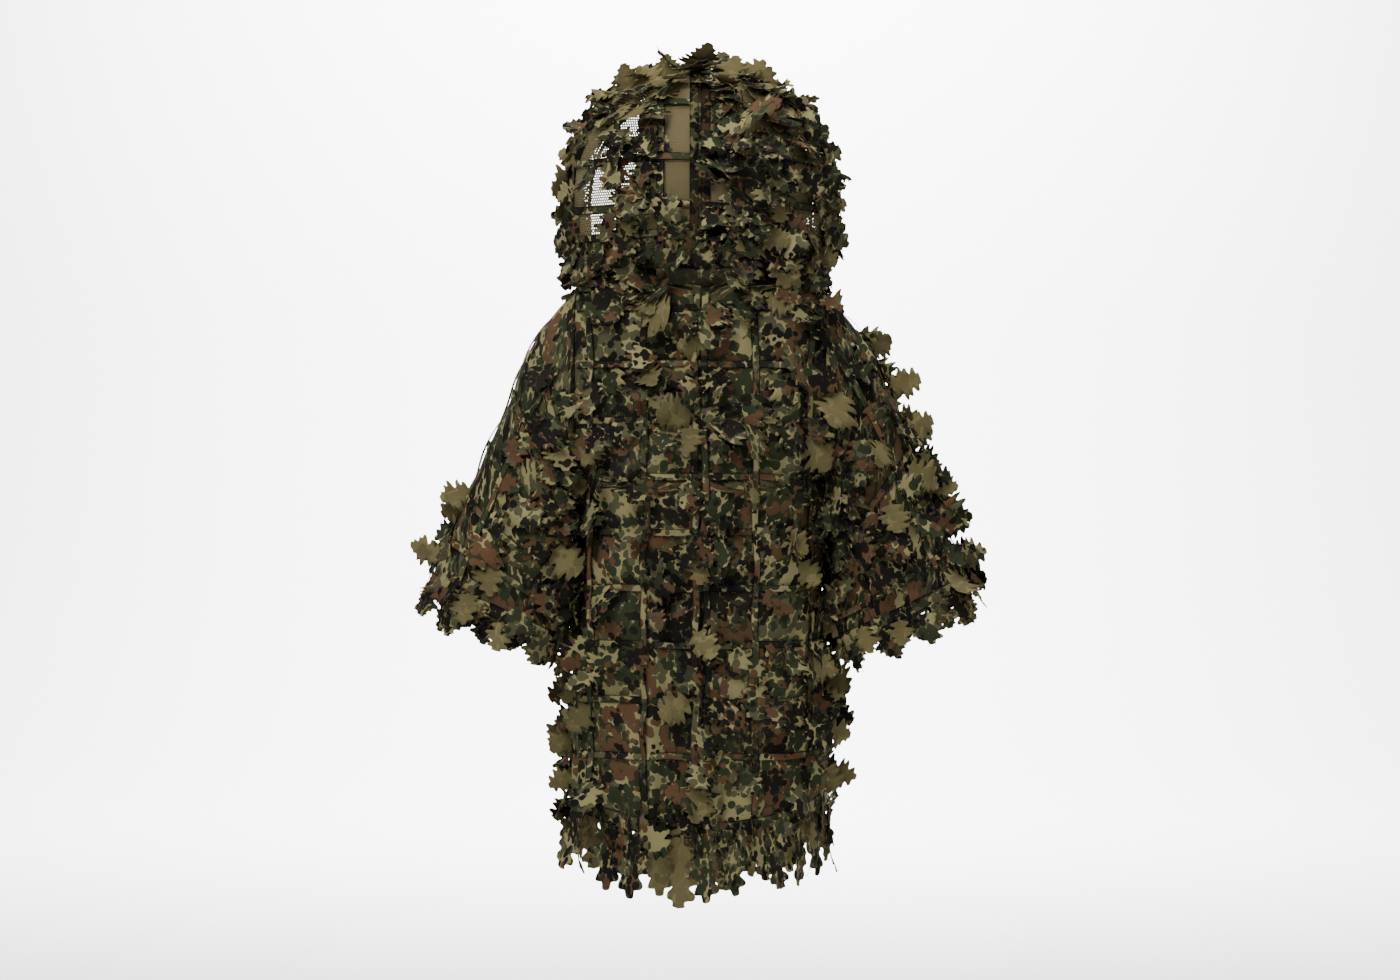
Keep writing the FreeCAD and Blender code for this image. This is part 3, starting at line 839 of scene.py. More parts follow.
def build_netting():
    radius = hi("hood_mesh_left").x - 0.006
    fronts = {}

    def wall_at(side):
        def lift(x, y):
            z = round(y, 4)
            if z not in fronts:
                fronts[z] = front_turn(y, hood_rim + 0.004)
            if x / radius > fronts[z]:
                return None
            found = hood_wall(side * x / radius, y)
            return None if found is None else found[0]
        return lift

    def top_at(side):
        def lift(x, y):
            if y < hood_rim + 0.004:
                return None
            found = hood_top(side * x, y)
            if found is None or found[0].z < NET_TOP - 0.012:
                return None
            return found[0]
        return lift

    for side, hand in HANDS:
        heap = Heap()
        cells = hex_cells(0.001, radius * 2.2, hood_seam - 0.006, NET_TOP)
        honeycomb(heap, cells, wall_at(side))
        honeycomb(heap, hex_cells(0.001, 0.20, hood_rim, 0.16), top_at(side))
        obj = heap.build("hood_netting_" + hand, [net_cloth])
        dress(obj, ["hood_mesh_" + hand], "hood")


def wall_grid(low, high, ni, nj, inset):
    grid = np.zeros((ni, nj, 3))
    for j in range(nj):
        z = mix(low, high, j / (nj - 1.0))
        limit = front_turn(z, hood_rim + 0.003)
        last = hood_wall(0.0, z)
        for i in range(ni):
            last = hood_wall(mix(-limit, limit, i / (ni - 1.0)), z) or last
            grid[i, j] = last[0] - last[1] * inset
    return grid


def hood_outward(grid):
    return grid - np.array(hood_centre)


def build_hood_cloth():
    skirt = wall_grid(hood_low + 0.0005, hood_seam + 0.012, 130, 12, -0.0004)
    middle = skirt.shape[0] // 2
    halves = (("left", skirt[middle:]), ("right", skirt[:middle + 1]))
    for hand, grid in halves:
        name = "hood_skirt_cloth_" + hand
        obj = grid_cloth(name, grid, hood_outward(grid), CLOTH, [camo, camo_inside], (5.0, 0.2))
        dress(obj, ["hood_skirt_" + hand], "hood")
    rows = []
    nu, nv = 44, 60
    last = on_hood(hood_centre, Vector((0.1, 1.0, 0.0)).normalized())
    for i in range(nu):
        line = []
        for j in range(nv):
            swing = mix(math.radians(-24.0), math.radians(112.0), j / (nv - 1.0))
            narrow = mix(1.0, 0.5, ease((swing - 0.7) / 0.8))
            across = mix(-0.93, 0.52, i / (nu - 1.0)) * narrow
            rest = math.sqrt(1.0 - across * across)
            way = Vector((across, math.cos(swing) * rest, math.sin(swing) * rest))
            last = on_hood(hood_centre, way) or last
            place, normal = last
            line.append(place - normal * 0.007)
        rows.append(line)
    grid = np.array([[tuple(p) for p in line] for line in rows])
    cloths = [lining_cloth, lining_cloth]
    obj = grid_cloth("hood_crown_lining", grid, hood_outward(grid), CLOTH, cloths, (6.0, 0.0))
    dress(obj, ["hood_crown"], "hood")


build_netting()
build_hood_cloth()


# ----------------------------------------------------------------- leaves

def leaf_outline(kind):
    """Right half of a lobed leaf from stem to tip: (half width, share of length)."""
    shapes = [
        [(0.05, 0.0), (0.045, 0.10), (0.20, 0.12), (0.37, 0.13), (0.38, 0.21), (0.25, 0.26), (0.24, 0.32),
         (0.49, 0.36), (0.54, 0.43), (0.42, 0.47), (0.41, 0.50), (0.51, 0.57), (0.46, 0.64), (0.27, 0.645),
         (0.20, 0.68), (0.31, 0.80), (0.27, 0.87), (0.14, 0.875), (0.12, 0.90), (0.11, 0.99), (0.0, 1.0)],
        [(0.05, 0.0), (0.04, 0.14), (0.16, 0.15), (0.33, 0.21), (0.32, 0.29), (0.19, 0.33), (0.22, 0.40),
         (0.46, 0.42), (0.50, 0.50), (0.36, 0.54), (0.37, 0.58), (0.42, 0.66), (0.22, 0.68), (0.20, 0.72),
         (0.37, 0.79), (0.35, 0.88), (0.18, 0.885), (0.16, 0.91), (0.17, 0.97), (0.05, 0.98), (0.0, 0.99)],
        [(0.04, 0.0), (0.05, 0.08), (0.27, 0.09), (0.35, 0.18), (0.22, 0.22), (0.23, 0.26), (0.43, 0.28),
         (0.42, 0.38), (0.22, 0.40), (0.24, 0.46), (0.48, 0.52), (0.54, 0.61), (0.37, 0.64), (0.38, 0.67),
         (0.41, 0.75), (0.23, 0.76), (0.20, 0.80), (0.24, 0.89), (0.13, 0.91), (0.12, 0.99), (0.0, 1.0)],
    ]
    return shapes[kind]


def rounded(line):
    """The same line with its corners cut."""
    cut = [line[0]]
    for a, b in zip(line, line[1:]):
        cut.append((mix(a[0], b[0], 0.25), mix(a[1], b[1], 0.25)))
        cut.append((mix(a[0], b[0], 0.75), mix(a[1], b[1], 0.75)))
    return cut + [line[-1]]


def leaf_template(kind):
    half = leaf_outline(kind)
    wobble = random.Random(kind + 40)
    rows = []
    for side in (1.0, -1.0):
        rows.append(rounded([(side * x * wobble.uniform(0.86, 1.1), y) for x, y in half]))
    half = rounded(half)
    n = len(half)
    flat = []
    for k in range(n):
        right, left = rows[0][k], rows[1][k]
        y = half[k][1]
        halfway = [(end[0] * 0.5, (end[1] + y) / 2.0) for end in (left, right)]
        flat.extend([left, halfway[0], (0.0, y), halfway[1], right])
    faces, slots = [], []
    m = 5 * n
    for k in range(n - 1):
        for c in range(4):
            a, b = 5 * k + c, 5 * k + c + 1
            quad = [a, b, b + 5, a + 5]
            faces.append(quad)
            slots.append(0)
            faces.append([i + m for i in reversed(quad)])
            slots.append(1)
    rim = [5 * k + 4 for k in range(n)] + [5 * k for k in reversed(range(n))]
    ring = [0, 1, 2, 3] + rim[:n] + [5 * (n - 1) + 3, 5 * (n - 1) + 2, 5 * (n - 1) + 1] + rim[n:-1]
    for a, b in zip(ring, ring[1:] + ring[:1]):
        faces.append([b, a, a + m, b + m])
        slots.append(0)
    return np.array(flat), faces, slots


TEMPLATES = [leaf_template(k) for k in range(3)]
LIMITS = []
for axis in range(3):
    size = cad_bounds[1][axis] - cad_bounds[0][axis]
    LIMITS.append((cad_bounds[0][axis] - SPILL_SHARE * size - SPILL,
                   cad_bounds[1][axis] + SPILL_SHARE * size + SPILL))


def drawn(span):
    """A number drawn between a pair of limits, or the number itself."""
    return rng.uniform(*span) if isinstance(span, tuple) else span


def add_leaf(heap, place, normal, along, length, width=1.0, lift=0.003, tilt=0.3, back=None, curl=1.0):
    """A cut cloth leaf sewn by its stem: along is where the tip points, tilt lifts it off the surface."""
    length, width, tilt = drawn(length), drawn(width), drawn(tilt)
    normal = Vector(normal).normalized()
    along = Vector(along)
    along = (along - normal * along.dot(normal)).normalized()
    side = along.cross(normal).normalized()
    along = (along * math.cos(tilt) + normal * math.sin(tilt)).normalized()
    up = side.cross(along).normalized()
    if up.dot(normal) < 0.0:
        up = -up
    flat, faces, slots = TEMPLATES[rng.randrange(3)]
    x = flat[:, 0] * width
    y = flat[:, 1]
    bow = rng.uniform(-0.34, 0.2) * curl
    cup = rng.uniform(-0.9, 0.9) * curl
    twist = rng.uniform(-0.7, 0.7) * curl
    wave = rng.uniform(0.0, 6.3)
    z = bow * y * y + cup * x * x * (0.4 + y) + twist * x * y + 0.03 * np.sin(9.0 * y + 7.0 * x + wave) * y
    x = x + rng.uniform(-0.12, 0.12) * y * y
    turned = rng.random() < (0.16 if back is None else back)
    half = LEAF_CLOTH / 2.0
    base = np.array(place + normal * lift)
    axes = [np.array(v) for v in (side, along, up)]
    body = base
    for amount, axis in zip((x, y, z), axes):
        body = body + np.outer(amount * length, axis)
    top = body + axes[2] * half
    low = body - axes[2] * half
    verts = np.concatenate([top, low])
    for axis, (least, most) in enumerate(LIMITS):
        verts[:, axis] = np.clip(verts[:, axis], least, most)
    angle = rng.uniform(0, 6.28)
    c, s = math.cos(angle), math.sin(angle)
    u = (flat[:, 0] * c - flat[:, 1] * s) * length + rng.uniform(0, 9)
    v = (flat[:, 0] * s + flat[:, 1] * c) * length + rng.uniform(0, 9)
    uv = np.stack([u, v], axis=1)
    if turned:
        slots = [1 - k for k in slots]
    heap.add(verts, faces, np.concatenate([uv, uv]), slots, rng.random())


def down_turned(normal, spread):
    """A downward way on the surface, swung left or right by up to spread degrees."""
    normal = Vector(normal)
    down = Vector((0, 0, -1.0)) - normal * Vector((0, 0, -1.0)).dot(normal)
    if down.length < 0.05:
        down = Vector((0, 1.0, 0))
    down.normalize()
    return Matrix.Rotation(math.radians(rng.uniform(-spread, spread)), 3, normal) @ down


def hang_leaf(heap, found, spread, *shape):
    """A leaf that hangs down from a found place, swung by up to spread degrees."""
    add_leaf(heap, *found, down_turned(found[1], spread), *shape)


def scatter(heap, finds, *shape):
    """One hanging leaf at every ray of finds that met something."""
    for found in finds:
        if found:
            hang_leaf(heap, found, *shape)


def side_on():
    """Facing roughly back or front, for the leaves that stand out at the sides."""
    return Vector((rng.uniform(-0.4, 0.4), rng.choice((-1.0, 1.0)), rng.uniform(-0.35, 0.35)))


def bend_leaves(obj, heap):
    """Bakes the transform with every leaf at its middle, then puts the leaves back; no leaf turns."""
    middles = np.concatenate([np.tile(leaf.mean(axis=0), (len(leaf), 1)) for leaf in heap.verts])
    obj.data.vertices.foreach_set("co", middles.ravel())
    bend_sleeve(obj)
    obj.data.vertices.foreach_set("co", np.concatenate(heap.verts).ravel())
    obj.data.update()


def finish_leaves(heap, name, nodes, body=None, hand=None):
    obj = heap.build(name, [leaf_front, leaf_back])
    dress(obj, nodes, body)
    if hand:
        bend_leaves(obj, heap)


def bare(face, x, z):
    """Leaves come in patches, and the lower left of the back is nearly free of them."""
    if face > 0.0 and 0.0 < x < 0.15 and -0.88 < z < -0.68:
        return rng.random() < 0.8
    return noise.noise(Vector((x * 7.0, z * 7.0, face * 3.0))) < 0.02 and rng.random() < 0.55


def trunk_leaves(face, side, density):
    heap = Heap()
    for row, z in enumerate(ROWS + [ROWS[-1] - 0.045]):
        x = 0.012 + rng.uniform(0, 0.02)
        while x < SIDE_EDGE:
            found = on_trunk(face, side * x, z + rng.uniform(-0.012, 0.006))
            if found and not bare(face, side * x, z):
                hang_leaf(heap, found, 62, (0.05, 0.074), (0.8, 1.05), 0.004, (0.05, 0.65))
            x += rng.uniform(0.026, 0.046) / density
    for column in (0.006, 0.088, 0.172):
        z = ROWS[0] - 0.02
        while z > -0.86:
            z -= rng.uniform(0.034, 0.062) / density
            found = on_trunk(face, side * (column + rng.uniform(-0.006, 0.006)), z)
            if found and (face > 0.0 or column > 0.05) and not bare(face, side * column, z):
                way = down_turned(found[1], 100)
                add_leaf(heap, *found, way, (0.045, 0.068), 1.0, 0.005, (0.05, 0.5))
    return heap


def build_trunk_leaves():
    for face, label, density in ((1.0, "back", 1.0), (-1.0, "front", 0.85)):
        for side, hand in HANDS:
            heap = trunk_leaves(face, side, density)
            finish_leaves(heap, label + "_leaf_cloth_" + hand, [label + "_leaves_" + hand], "coat")
    for side, hand in HANDS:
        heap = Heap()
        z = -0.42
        while z > -0.87:
            z -= rng.uniform(0.009, 0.017)
            turn = rng.uniform(-0.6, 0.6) if rng.random() < 0.5 else rng.uniform(-0.1, 0.1)
            found = round_trunk(turn if side > 0 else math.pi - turn, z)
            if found:
                if rng.random() < 0.5:
                    tip = Vector((side * rng.uniform(0.2, 1.0), 0.0, rng.uniform(-1.0, -0.1)))
                    add_leaf(heap, found[0], side_on(), tip, (0.044, 0.060), 1.0, 0.0, (-0.15, 0.25), 0.4,
                             0.6)
                else:
                    hang_leaf(heap, found, 50, (0.046, 0.066), 0.95, 0.003, (0.1, 0.7), 0.4)
        finish_leaves(heap, "side_leaf_cloth_" + hand, ["side_leaves_" + hand], "coat")


def build_shoulder_leaves():
    heap = Heap()
    for side in (1, -1):
        for face in (1.0, -1.0):
            finds = (on_trunk(face, side * rng.uniform(0.06, 0.19), rng.uniform(-0.05, 0.015))
                     for _ in range(13))
            scatter(heap, finds, 80, (0.045, 0.065), 1.0, 0.004, (0.1, 0.6))
    finish_leaves(heap, "shoulder_leaf_cloth", [], "coat")


def lowest(turn):
    """The lowest place of the coat at this angle."""
    for z in np.arange(-0.905, -0.84, 0.003):
        found = round_trunk(turn, z)
        if found:
            return found[0], Vector((found[1].x, found[1].y, 0.0))
    return None


def build_hem_fringe():
    heap = Heap()
    rings = ((27, 0.004, 0.098, 0.122), (31, 0.020, 0.078, 0.100), (20, 0.030, 0.060, 0.080))
    for count, rise, short, long in rings:
        for i in range(count):
            turn = -math.pi / 2.0 + 2.0 * math.pi * (i + 0.5 + rng.uniform(-0.3, 0.3)) / count
            found = lowest(turn)
            if found:
                place = found[0] + Vector((0, 0, rise))
                add_leaf(heap, place, found[1], down_turned(found[1], 16), (short, long), (0.42, 0.62), 0.003,
                         (-0.1, 0.16), 0.2, 0.6)
    finish_leaves(heap, "hem_fringe_cloth", ["hem_leaf_fringe"], "coat")


def build_sleeve_leaves():
    for side, hand in HANDS:
        heap = Heap()
        for v in (0.17, 0.30, 0.43, 0.56, 0.69, 0.82, 0.92):
            turn = -math.pi * 0.86 + rng.uniform(0, 0.2)
            while turn < math.pi * 0.86:
                found = on_sleeve(side, v + rng.uniform(-0.03, 0.02), turn)
                smooth_edge = side > 0 and abs(turn) < 0.5 and v < 0.7
                if found and not smooth_edge and rng.random() < (0.55 if v > 0.8 else 0.85):
                    hang_leaf(heap, found, 55, (0.048, 0.07), (0.85, 1.15), 0.004, (0.05, 0.5))
                turn += rng.uniform(0.22, 0.42)
        outer = 30 if side < 0 else 7
        for _ in range(outer):
            v = rng.uniform(0.16 if side < 0 else 0.62, 0.95)
            found = on_sleeve(side, v, rng.uniform(-0.3, 0.3))
            if found:
                tip = Vector((side * rng.uniform(0.3, 1.0), 0.0, rng.uniform(-1.0, 0.3)))
                add_leaf(heap, found[0], side_on(), tip, (0.044, 0.058), 1.0, 0.0, (-0.15, 0.25), 0.4, 0.6)
        finish_leaves(heap, "sleeve_leaf_cloth_" + hand, ["sleeve_leaves_" + hand], hand=hand)
        heap = Heap()
        out = Vector((side * 0.39, 0.0, -0.92)).normalized()
        for i in range(34):
            turn = 2.0 * math.pi * (i + rng.uniform(-0.4, 0.4)) / 34
            found = on_sleeve(side, rng.choice((0.992, 0.975, 0.94)), turn)
            if found:
                swing = Vector((rng.uniform(-0.3, 0.3), rng.uniform(-0.3, 0.3), 0))
                add_leaf(heap, *found, out * 0.8 + Vector((0, 0, -0.35)) + swing, (0.046, 0.062), (0.75, 1.0),
                         0.003, (-0.05, 0.35), 0.3, 0.8)
        finish_leaves(heap, "cuff_fringe_cloth_" + hand, ["sleeve_cuff_fringe_" + hand], hand=hand)


def outline_leaves(heap, side):
    """Leaves that stand out round the hood, flat to someone behind the wearer."""
    for i in range(11):
        turn = math.radians(mix(8.0, 118.0, (i + rng.uniform(0.25, 0.75)) / 11.0))
        way = Vector((side * math.sin(turn), 0.0, math.cos(turn)))
        y = rng.uniform(0.0, 0.075)
        place, _ = around_hood(way, y)
        if place is None or place.z < 0.03:
            continue
        tip = way + Vector((rng.uniform(-0.35, 0.35), 0.0, rng.uniform(-0.45, 0.25)))
        face = Vector((rng.uniform(-0.35, 0.35), 1.0, rng.uniform(-0.3, 0.3)))
        add_leaf(heap, place - way * 0.014, face, tip, (0.044, 0.057), 1.0, 0.0, (-0.2, 0.2), 0.3, 0.45)


def build_hood_leaves():
    for side, hand in HANDS:
        heap = Heap()
        finds = (hood_wall(side * mix(1.0, 2.2, k / 10.0), rng.uniform(0.016, 0.034)) for k in range(11))
        scatter(heap, finds, 30, (0.042, 0.052), 1.0, 0.003, (0.0, 0.1), 0.15, 0.6)
        for _ in range(9 if side > 0 else 34):
            found = hood_wall(side * rng.uniform(0.10, 0.95), rng.uniform(0.06, 0.30))
            if found and not (side > 0 and found[0].z > 0.12 and found[0].x < 0.09):
                hang_leaf(heap, found, 70, (0.045, 0.064), 0.95, 0.004, (0.1, 0.7), 0.1)
        for z in (0.040, 0.062, 0.095, 0.14, 0.183, 0.225, 0.272, 0.305):
            turn = rng.uniform(0.02, 0.14)
            window = side > 0 and 0.07 < z < 0.25
            limit = front_turn(z, hood_rim + 0.02)
            while turn < limit:
                clear = (side > 0 and z > 0.12 and turn < 0.42) or (z > 0.11 and turn < 0.12)
                left_out = window and 0.78 < turn < 1.4 and rng.random() < 0.85
                if not left_out and not (clear and rng.random() < 0.8):
                    found = hood_wall(side * turn, z + rng.uniform(-0.01, 0.008))
                    if found:
                        hang_leaf(heap, found, 65, (0.045, 0.066), (0.8, 1.05), 0.003, (0.05, 0.65), 0.12)
                turn += rng.uniform(0.10, 0.22) * (1.0 if side < 0 else 1.3)
        for _ in range(17):
            x, y = rng.uniform(0.0, 0.13), rng.uniform(-0.14, 0.10)
            found = hood_top(side * x, y)
            if found and found[0].z > 0.27:
                way = Vector((side * x, y + 0.02, 0.0))
                way += Vector((rng.uniform(-0.04, 0.04), rng.uniform(-0.04, 0.04), 0))
                add_leaf(heap, *found, way, (0.045, 0.06), 1.0, 0.003, (0.15, 0.7), 0.3)
        if side > 0:
            finds = (hood_wall(rng.uniform(0.44, 0.72), rng.uniform(0.085, 0.245)) for _ in range(15))
            scatter(heap, finds, 60, (0.044, 0.058), 0.95, 0.004, (0.05, 0.4), 0.1)
        outline_leaves(heap, side)
        finish_leaves(heap, "hood_leaf_cloth_" + hand, ["hood_leaves_" + hand], "hood")
    heap = Heap()
    count = 46
    for i in range(count):
        turn = math.radians(mix(-116.0, 116.0, (i + rng.uniform(0.2, 0.8)) / count))
        way = Vector((math.sin(turn), 0.0, math.cos(turn)))
        y = hood_rim + rng.uniform(0.002, 0.024)
        place, _ = around_hood(way, y)
        if place is None:
            continue
        toward = way + Vector((rng.uniform(-0.4, 0.4), 0, rng.uniform(-0.4, 0.4)))
        face = Vector((0, rng.choice((-1.0, 1.0)), 0)) + way * rng.uniform(-0.3, 0.3)
        add_leaf(heap, place, face, toward, (0.048, 0.060), 0.95, 0.0, (-0.25, 0.25), 0.5, 0.6)
    finish_leaves(heap, "hood_rim_leaf_cloth", ["hood_rim_leaves"], "hood")


build_trunk_leaves()
build_shoulder_leaves()
build_hem_fringe()
build_sleeve_leaves()
build_hood_leaves()


# ------------------------------------------------------------------ tapes

def slack(distance, tacks, sag):
    """Lift of a tape that is tacked down at some distances and stands off in between."""
    lift = 0.0007
    for a, b in zip(tacks, tacks[1:]):
        if a <= distance <= b:
            lift += sag * math.sin(math.pi * (distance - a) / (b - a)) ** 2
    return lift


def tape_object(heap, name, nodes, body=None, hand=None, materials=None):
    # The third material darkens the tape sides as painted shadow.
    obj = heap.build(name, materials or [camo_tape, thread, tape_edge_shadow])
    dress(obj, nodes, body)
    if hand:
        bend_sleeve(obj)


def smooth_line(values, passes=3):
    line = np.array([tuple(v) for v in values], float)
    for _ in range(passes):
        line[1:-1] = (line[:-2] + line[1:-1] * 2.0 + line[2:]) / 4.0
    return line


def traced(finds):
    """Places and normals of those rays that met something."""
    met = [found for found in finds if found]
    return [place for place, _ in met], [normal for _, normal in met]


def waves(base, times, count):
    """Lifts of a tape that stands off its cloth a number of times."""
    return [base + 0.004 * abs(math.sin(times * k / count * math.pi)) for k in range(count)]


def lay_tape(heap, places, normals, lifts, width=TAPE):
    ribbon(heap, smooth_line(places), smooth_line(normals, 6), width, TAPE_THICK, lifts, 0, rng.uniform(0, 8))


def tack_down(heap, places, normals, step, lift):
    for k in range(0, len(places) - 1, step):
        tack(heap, places[k], normals[k], Vector(places[k + 1]) - Vector(places[k]), lift)


def tack(heap, place, normal, along, lift):
    normal = Vector(normal).normalized()
    along = (Vector(along) - normal * Vector(along).dot(normal)).normalized()
    side = normal.cross(along)
    spot = Vector(place) + normal * lift
    small_box(heap, spot, side, along, normal, (TAPE * 0.86, 0.0018, 0.0011), 1)
    for k in (-1, 1):
        small_box(heap, spot + along * (k * 0.0024), side, along, normal, (TAPE * 0.86, 0.0007, 0.0008), 1)


def trunk_tape_rows(face, x0, x1):
    heap = Heap()
    for z in ROWS:
        places, normals, lifts = [], [], []
        count = int(abs(x1 - x0) / 0.006)
        tacks = sorted(c for c in COLUMNS if min(x0, x1) <= c <= max(x0, x1))
        tacks = [min(x0, x1)] + tacks + [max(x0, x1)]
        sag = rng.uniform(0.003, 0.008)
        droop = [rng.uniform(-0.003, 0.004) for _ in range(len(tacks))]
        for i in range(count + 1):
            x = mix(x0, x1, i / count)
            dip = 0.0
            for k, (a, b) in enumerate(zip(tacks, tacks[1:])):
                if a <= x <= b:
                    dip = droop[k] * math.sin(math.pi * (x - a) / max(b - a, 1e-6)) ** 2
            found = on_trunk(face, x, z - dip)
            if found:
                places.append(found[0])
                normals.append(found[1])
                lifts.append(slack(x, tacks, sag))
        if len(places) < 4:
            continue
        lay_tape(heap, places, normals, lifts)
        for x in tacks:
            found = on_trunk(face, min(max(x, min(x0, x1) + 0.002), max(x0, x1) - 0.002), z)
            if found:
                tack(heap, found[0], found[1], (1, 0, 0), 0.0035)
    return heap


def trunk_tape_column(heap, face, x, top, bottom, width=TAPE):
    places, normals, lifts = [], [], []
    tacks = sorted([z for z in ROWS if bottom < z < top] + [top, bottom])
    sag = rng.uniform(0.003, 0.007)
    count = int((top - bottom) / 0.006)
    for i in range(count + 1):
        z = mix(top, bottom, i / count)
        found = on_trunk(face, x + 0.0016 * math.sin(z * 40.0 + x * 90.0), z)
        if found:
            places.append(found[0])
            normals.append(found[1])
            lifts.append(slack(z, tacks, sag) + 0.0013)
    lay_tape(heap, places, normals, lifts, width)
    for z in tacks:
        found = on_trunk(face, x, min(max(z, bottom + 0.003), top - 0.003))
        if found:
            tack(heap, found[0], found[1], (0, 0, 1), 0.0040)


def build_trunk_tapes():
    heap = trunk_tape_rows(1.0, -SIDE_EDGE, SIDE_EDGE)
    tape_object(heap, "back_row_tape_cloth", ["back_row_tapes"], "coat")
    for hand, x0, x1 in (("left", FRONT_EDGE, SIDE_EDGE), ("right", -SIDE_EDGE, -FRONT_EDGE)):
        heap = trunk_tape_rows(-1.0, x0, x1)
        tape_object(heap, "front_row_tape_cloth_" + hand, ["front_row_tapes_" + hand], "coat")
    heap = Heap()
    for x in (-0.0075, 0.0075):
        trunk_tape_column(heap, 1.0, x, -0.030, -0.872)
    tape_object(heap, "centre_back_tape_cloth", ["centre_back_tapes"], "coat")
    for face, label in FACES:
        for side, hand in HANDS:
            heap = Heap()
            trunk_tape_column(heap, face, side * 0.088, -0.05, -0.868)
            trunk_tape_column(heap, face, side * 0.176, -0.06, -0.85)
            tape_object(heap, label + "_column_tape_cloth_" + hand, [label + "_column_tape_" + hand], "coat")


def build_seam_tapes():
    """Binding over the shoulder and side seams, where the front meets the back."""
    for side, hand in HANDS:
        heap = Heap()
        for top, bottom in ((0.043, -0.0165), (-0.362, -0.862)):
            places = []
            for k in range(61):
                z = mix(top, bottom, k / 60.0)
                ends = [round_trunk(turn if side > 0 else math.pi - turn, z) for turn in (0.07, -0.07)]
                if all(ends):
                    x = side * max(abs(ends[0][0].x), abs(ends[1][0].x))
                    places.append(np.array((x, 0.0, z)))
            places = smooth_line(places, 6)
            along = np.gradient(places, axis=0)
            normals = np.stack([-along[:, 2] * side, along[:, 1] * 0.0, along[:, 0] * side], axis=1)
            ribbon(heap, places, normals, 0.014, 0.0011, 0.0008, 0, rng.uniform(0, 8))
        tape_object(heap, "seam_tape_cloth_" + hand, [], "coat")


def build_hem_band():
    heap = Heap()
    edges = []
    for k in range(241):
        turn = -math.pi / 2.0 + 0.04 + (2.0 * math.pi - 0.08) * k / 240
        base = next((z for z in np.arange(-0.904, -0.84, 0.002) if round_trunk(turn, z)), None)
        found = base is not None and round_trunk(turn, base + 0.012)
        if found:
            edges.append((found[0], Vector((found[1].x, found[1].y, 0.0))))
    places = smooth_line([p for p, _ in edges])
    normals = smooth_line([n for _, n in edges], 6)
    ribbon(heap, places, normals, 0.024, 0.0012, 0.0006, 0, 2.0)
    places = np.asarray(places)
    for k in range(0, len(places) - 1):
        for up in (-0.0095, 0.0095):
            a, b = places[k], places[k + 1]
            normal = Vector(normals[k]).normalized()
            for part in (0.2, 0.7):
                spot = Vector(a).lerp(Vector(b), part) + normal * 0.0020 + Vector((0, 0, up))
                way = Vector(b - a).normalized()
                small_box(heap, spot, way, normal.cross(way), normal, (0.0026, 0.0006, 0.0005), 1)
    tape_object(heap, "hem_band_cloth", ["hem_band"], "coat")


def build_sleeve_tapes():
    for side, hand in HANDS:
        heap = Heap()
        for v in (0.20, 0.36, 0.52, 0.68, 0.84):
            slant = rng.uniform(-0.02, 0.02)
            turns = [-math.pi + 2.0 * math.pi * k / 96 for k in range(97)]
            places, normals = traced(on_sleeve(side, v + slant * math.sin(a), a * 0.994) for a in turns)
            lay_tape(heap, places, normals, waves(0.0008, 4.0, len(places)))
            tack_down(heap, places, normals, max(len(places) // 8, 1), 0.0032)
        for turn in (0.03, 0.9, -0.9, 2.0, -2.0, 3.11):
            places, normals = traced(on_sleeve(side, mix(0.12, 0.94, k / 60.0), turn) for k in range(61))
            lay_tape(heap, places, normals, waves(0.0019, 5.0, len(places)))
        tape_object(heap, "sleeve_tape_cloth_" + hand, ["sleeve_row_tapes_" + hand], hand=hand)
        heap = Heap()
        turns = [(-math.pi + 2.0 * math.pi * k / 120) * 0.996 for k in range(121)]
        places, normals = traced(on_sleeve(side, 0.965, turn) for turn in turns)
        ribbon(heap, smooth_line(places), smooth_line(normals, 6), 0.020, 0.0012, 0.0006, 0, 3.0)
        tape_object(heap, "cuff_band_cloth_" + hand, ["sleeve_cuff_band_" + hand], hand=hand)


def build_hood_tapes():
    heap = Heap()
    for z in (0.062, 0.108, 0.183, 0.272):
        limit = front_turn(z, hood_rim + 0.022)
        places, normals, lifts = [], [], []
        for k in range(121):
            turn = mix(-limit, limit, k / 120.0)
            found = hood_wall(turn, z + 0.003 * math.sin(turn * 5.0))
            if found:
                places.append(found[0])
                normals.append(found[1])
                lifts.append(0.0012 + 0.004 * abs(math.sin(turn * 4.2)))
        lay_tape(heap, places, normals, lifts)
        tack_down(heap, places, normals, 15, 0.0035)
    tape_object(heap, "hood_row_tape_cloth", ["hood_row_tapes"], "hood")
    heap = Heap()
    for x, width in ((0.009, 0.015), (-0.009, 0.015), (0.0, 0.004)):
        places, normals = [], []
        for k in range(101):
            swing = math.radians(mix(-26.0, 128.0, k / 100.0))
            found = on_hood(hood_centre, Vector((0.02, math.cos(swing), math.sin(swing))).normalized())
            if found:
                places.append(Vector((x, found[0].y, found[0].z)))
                normals.append(Vector((0.0, math.cos(swing), math.sin(swing))))
        lift = 0.0030 if width > 0.005 else 0.0046
        lay_tape(heap, places, normals, lift, width)
    tape_object(heap, "hood_centre_tape_cloth", ["hood_centre_tape"], "hood",
                materials=[dark_tape, thread, tape_edge_shadow])
    for side, hand in HANDS:
        heap = Heap()
        for x, top in ((0.062, 0.300), (0.128, 0.262)):
            middles = [Vector((side * x, 0.0, mix(0.050, top, k / 60.0))) for k in range(61)]
            places, normals = traced(on_hood(middle, Vector((0.0, 1.0, 0.0))) for middle in middles)
            lay_tape(heap, places, normals, waves(0.0022, 4.0, len(places)))
        tape_object(heap, "hood_column_tape_cloth_" + hand, ["hood_column_tapes_" + hand], "hood")


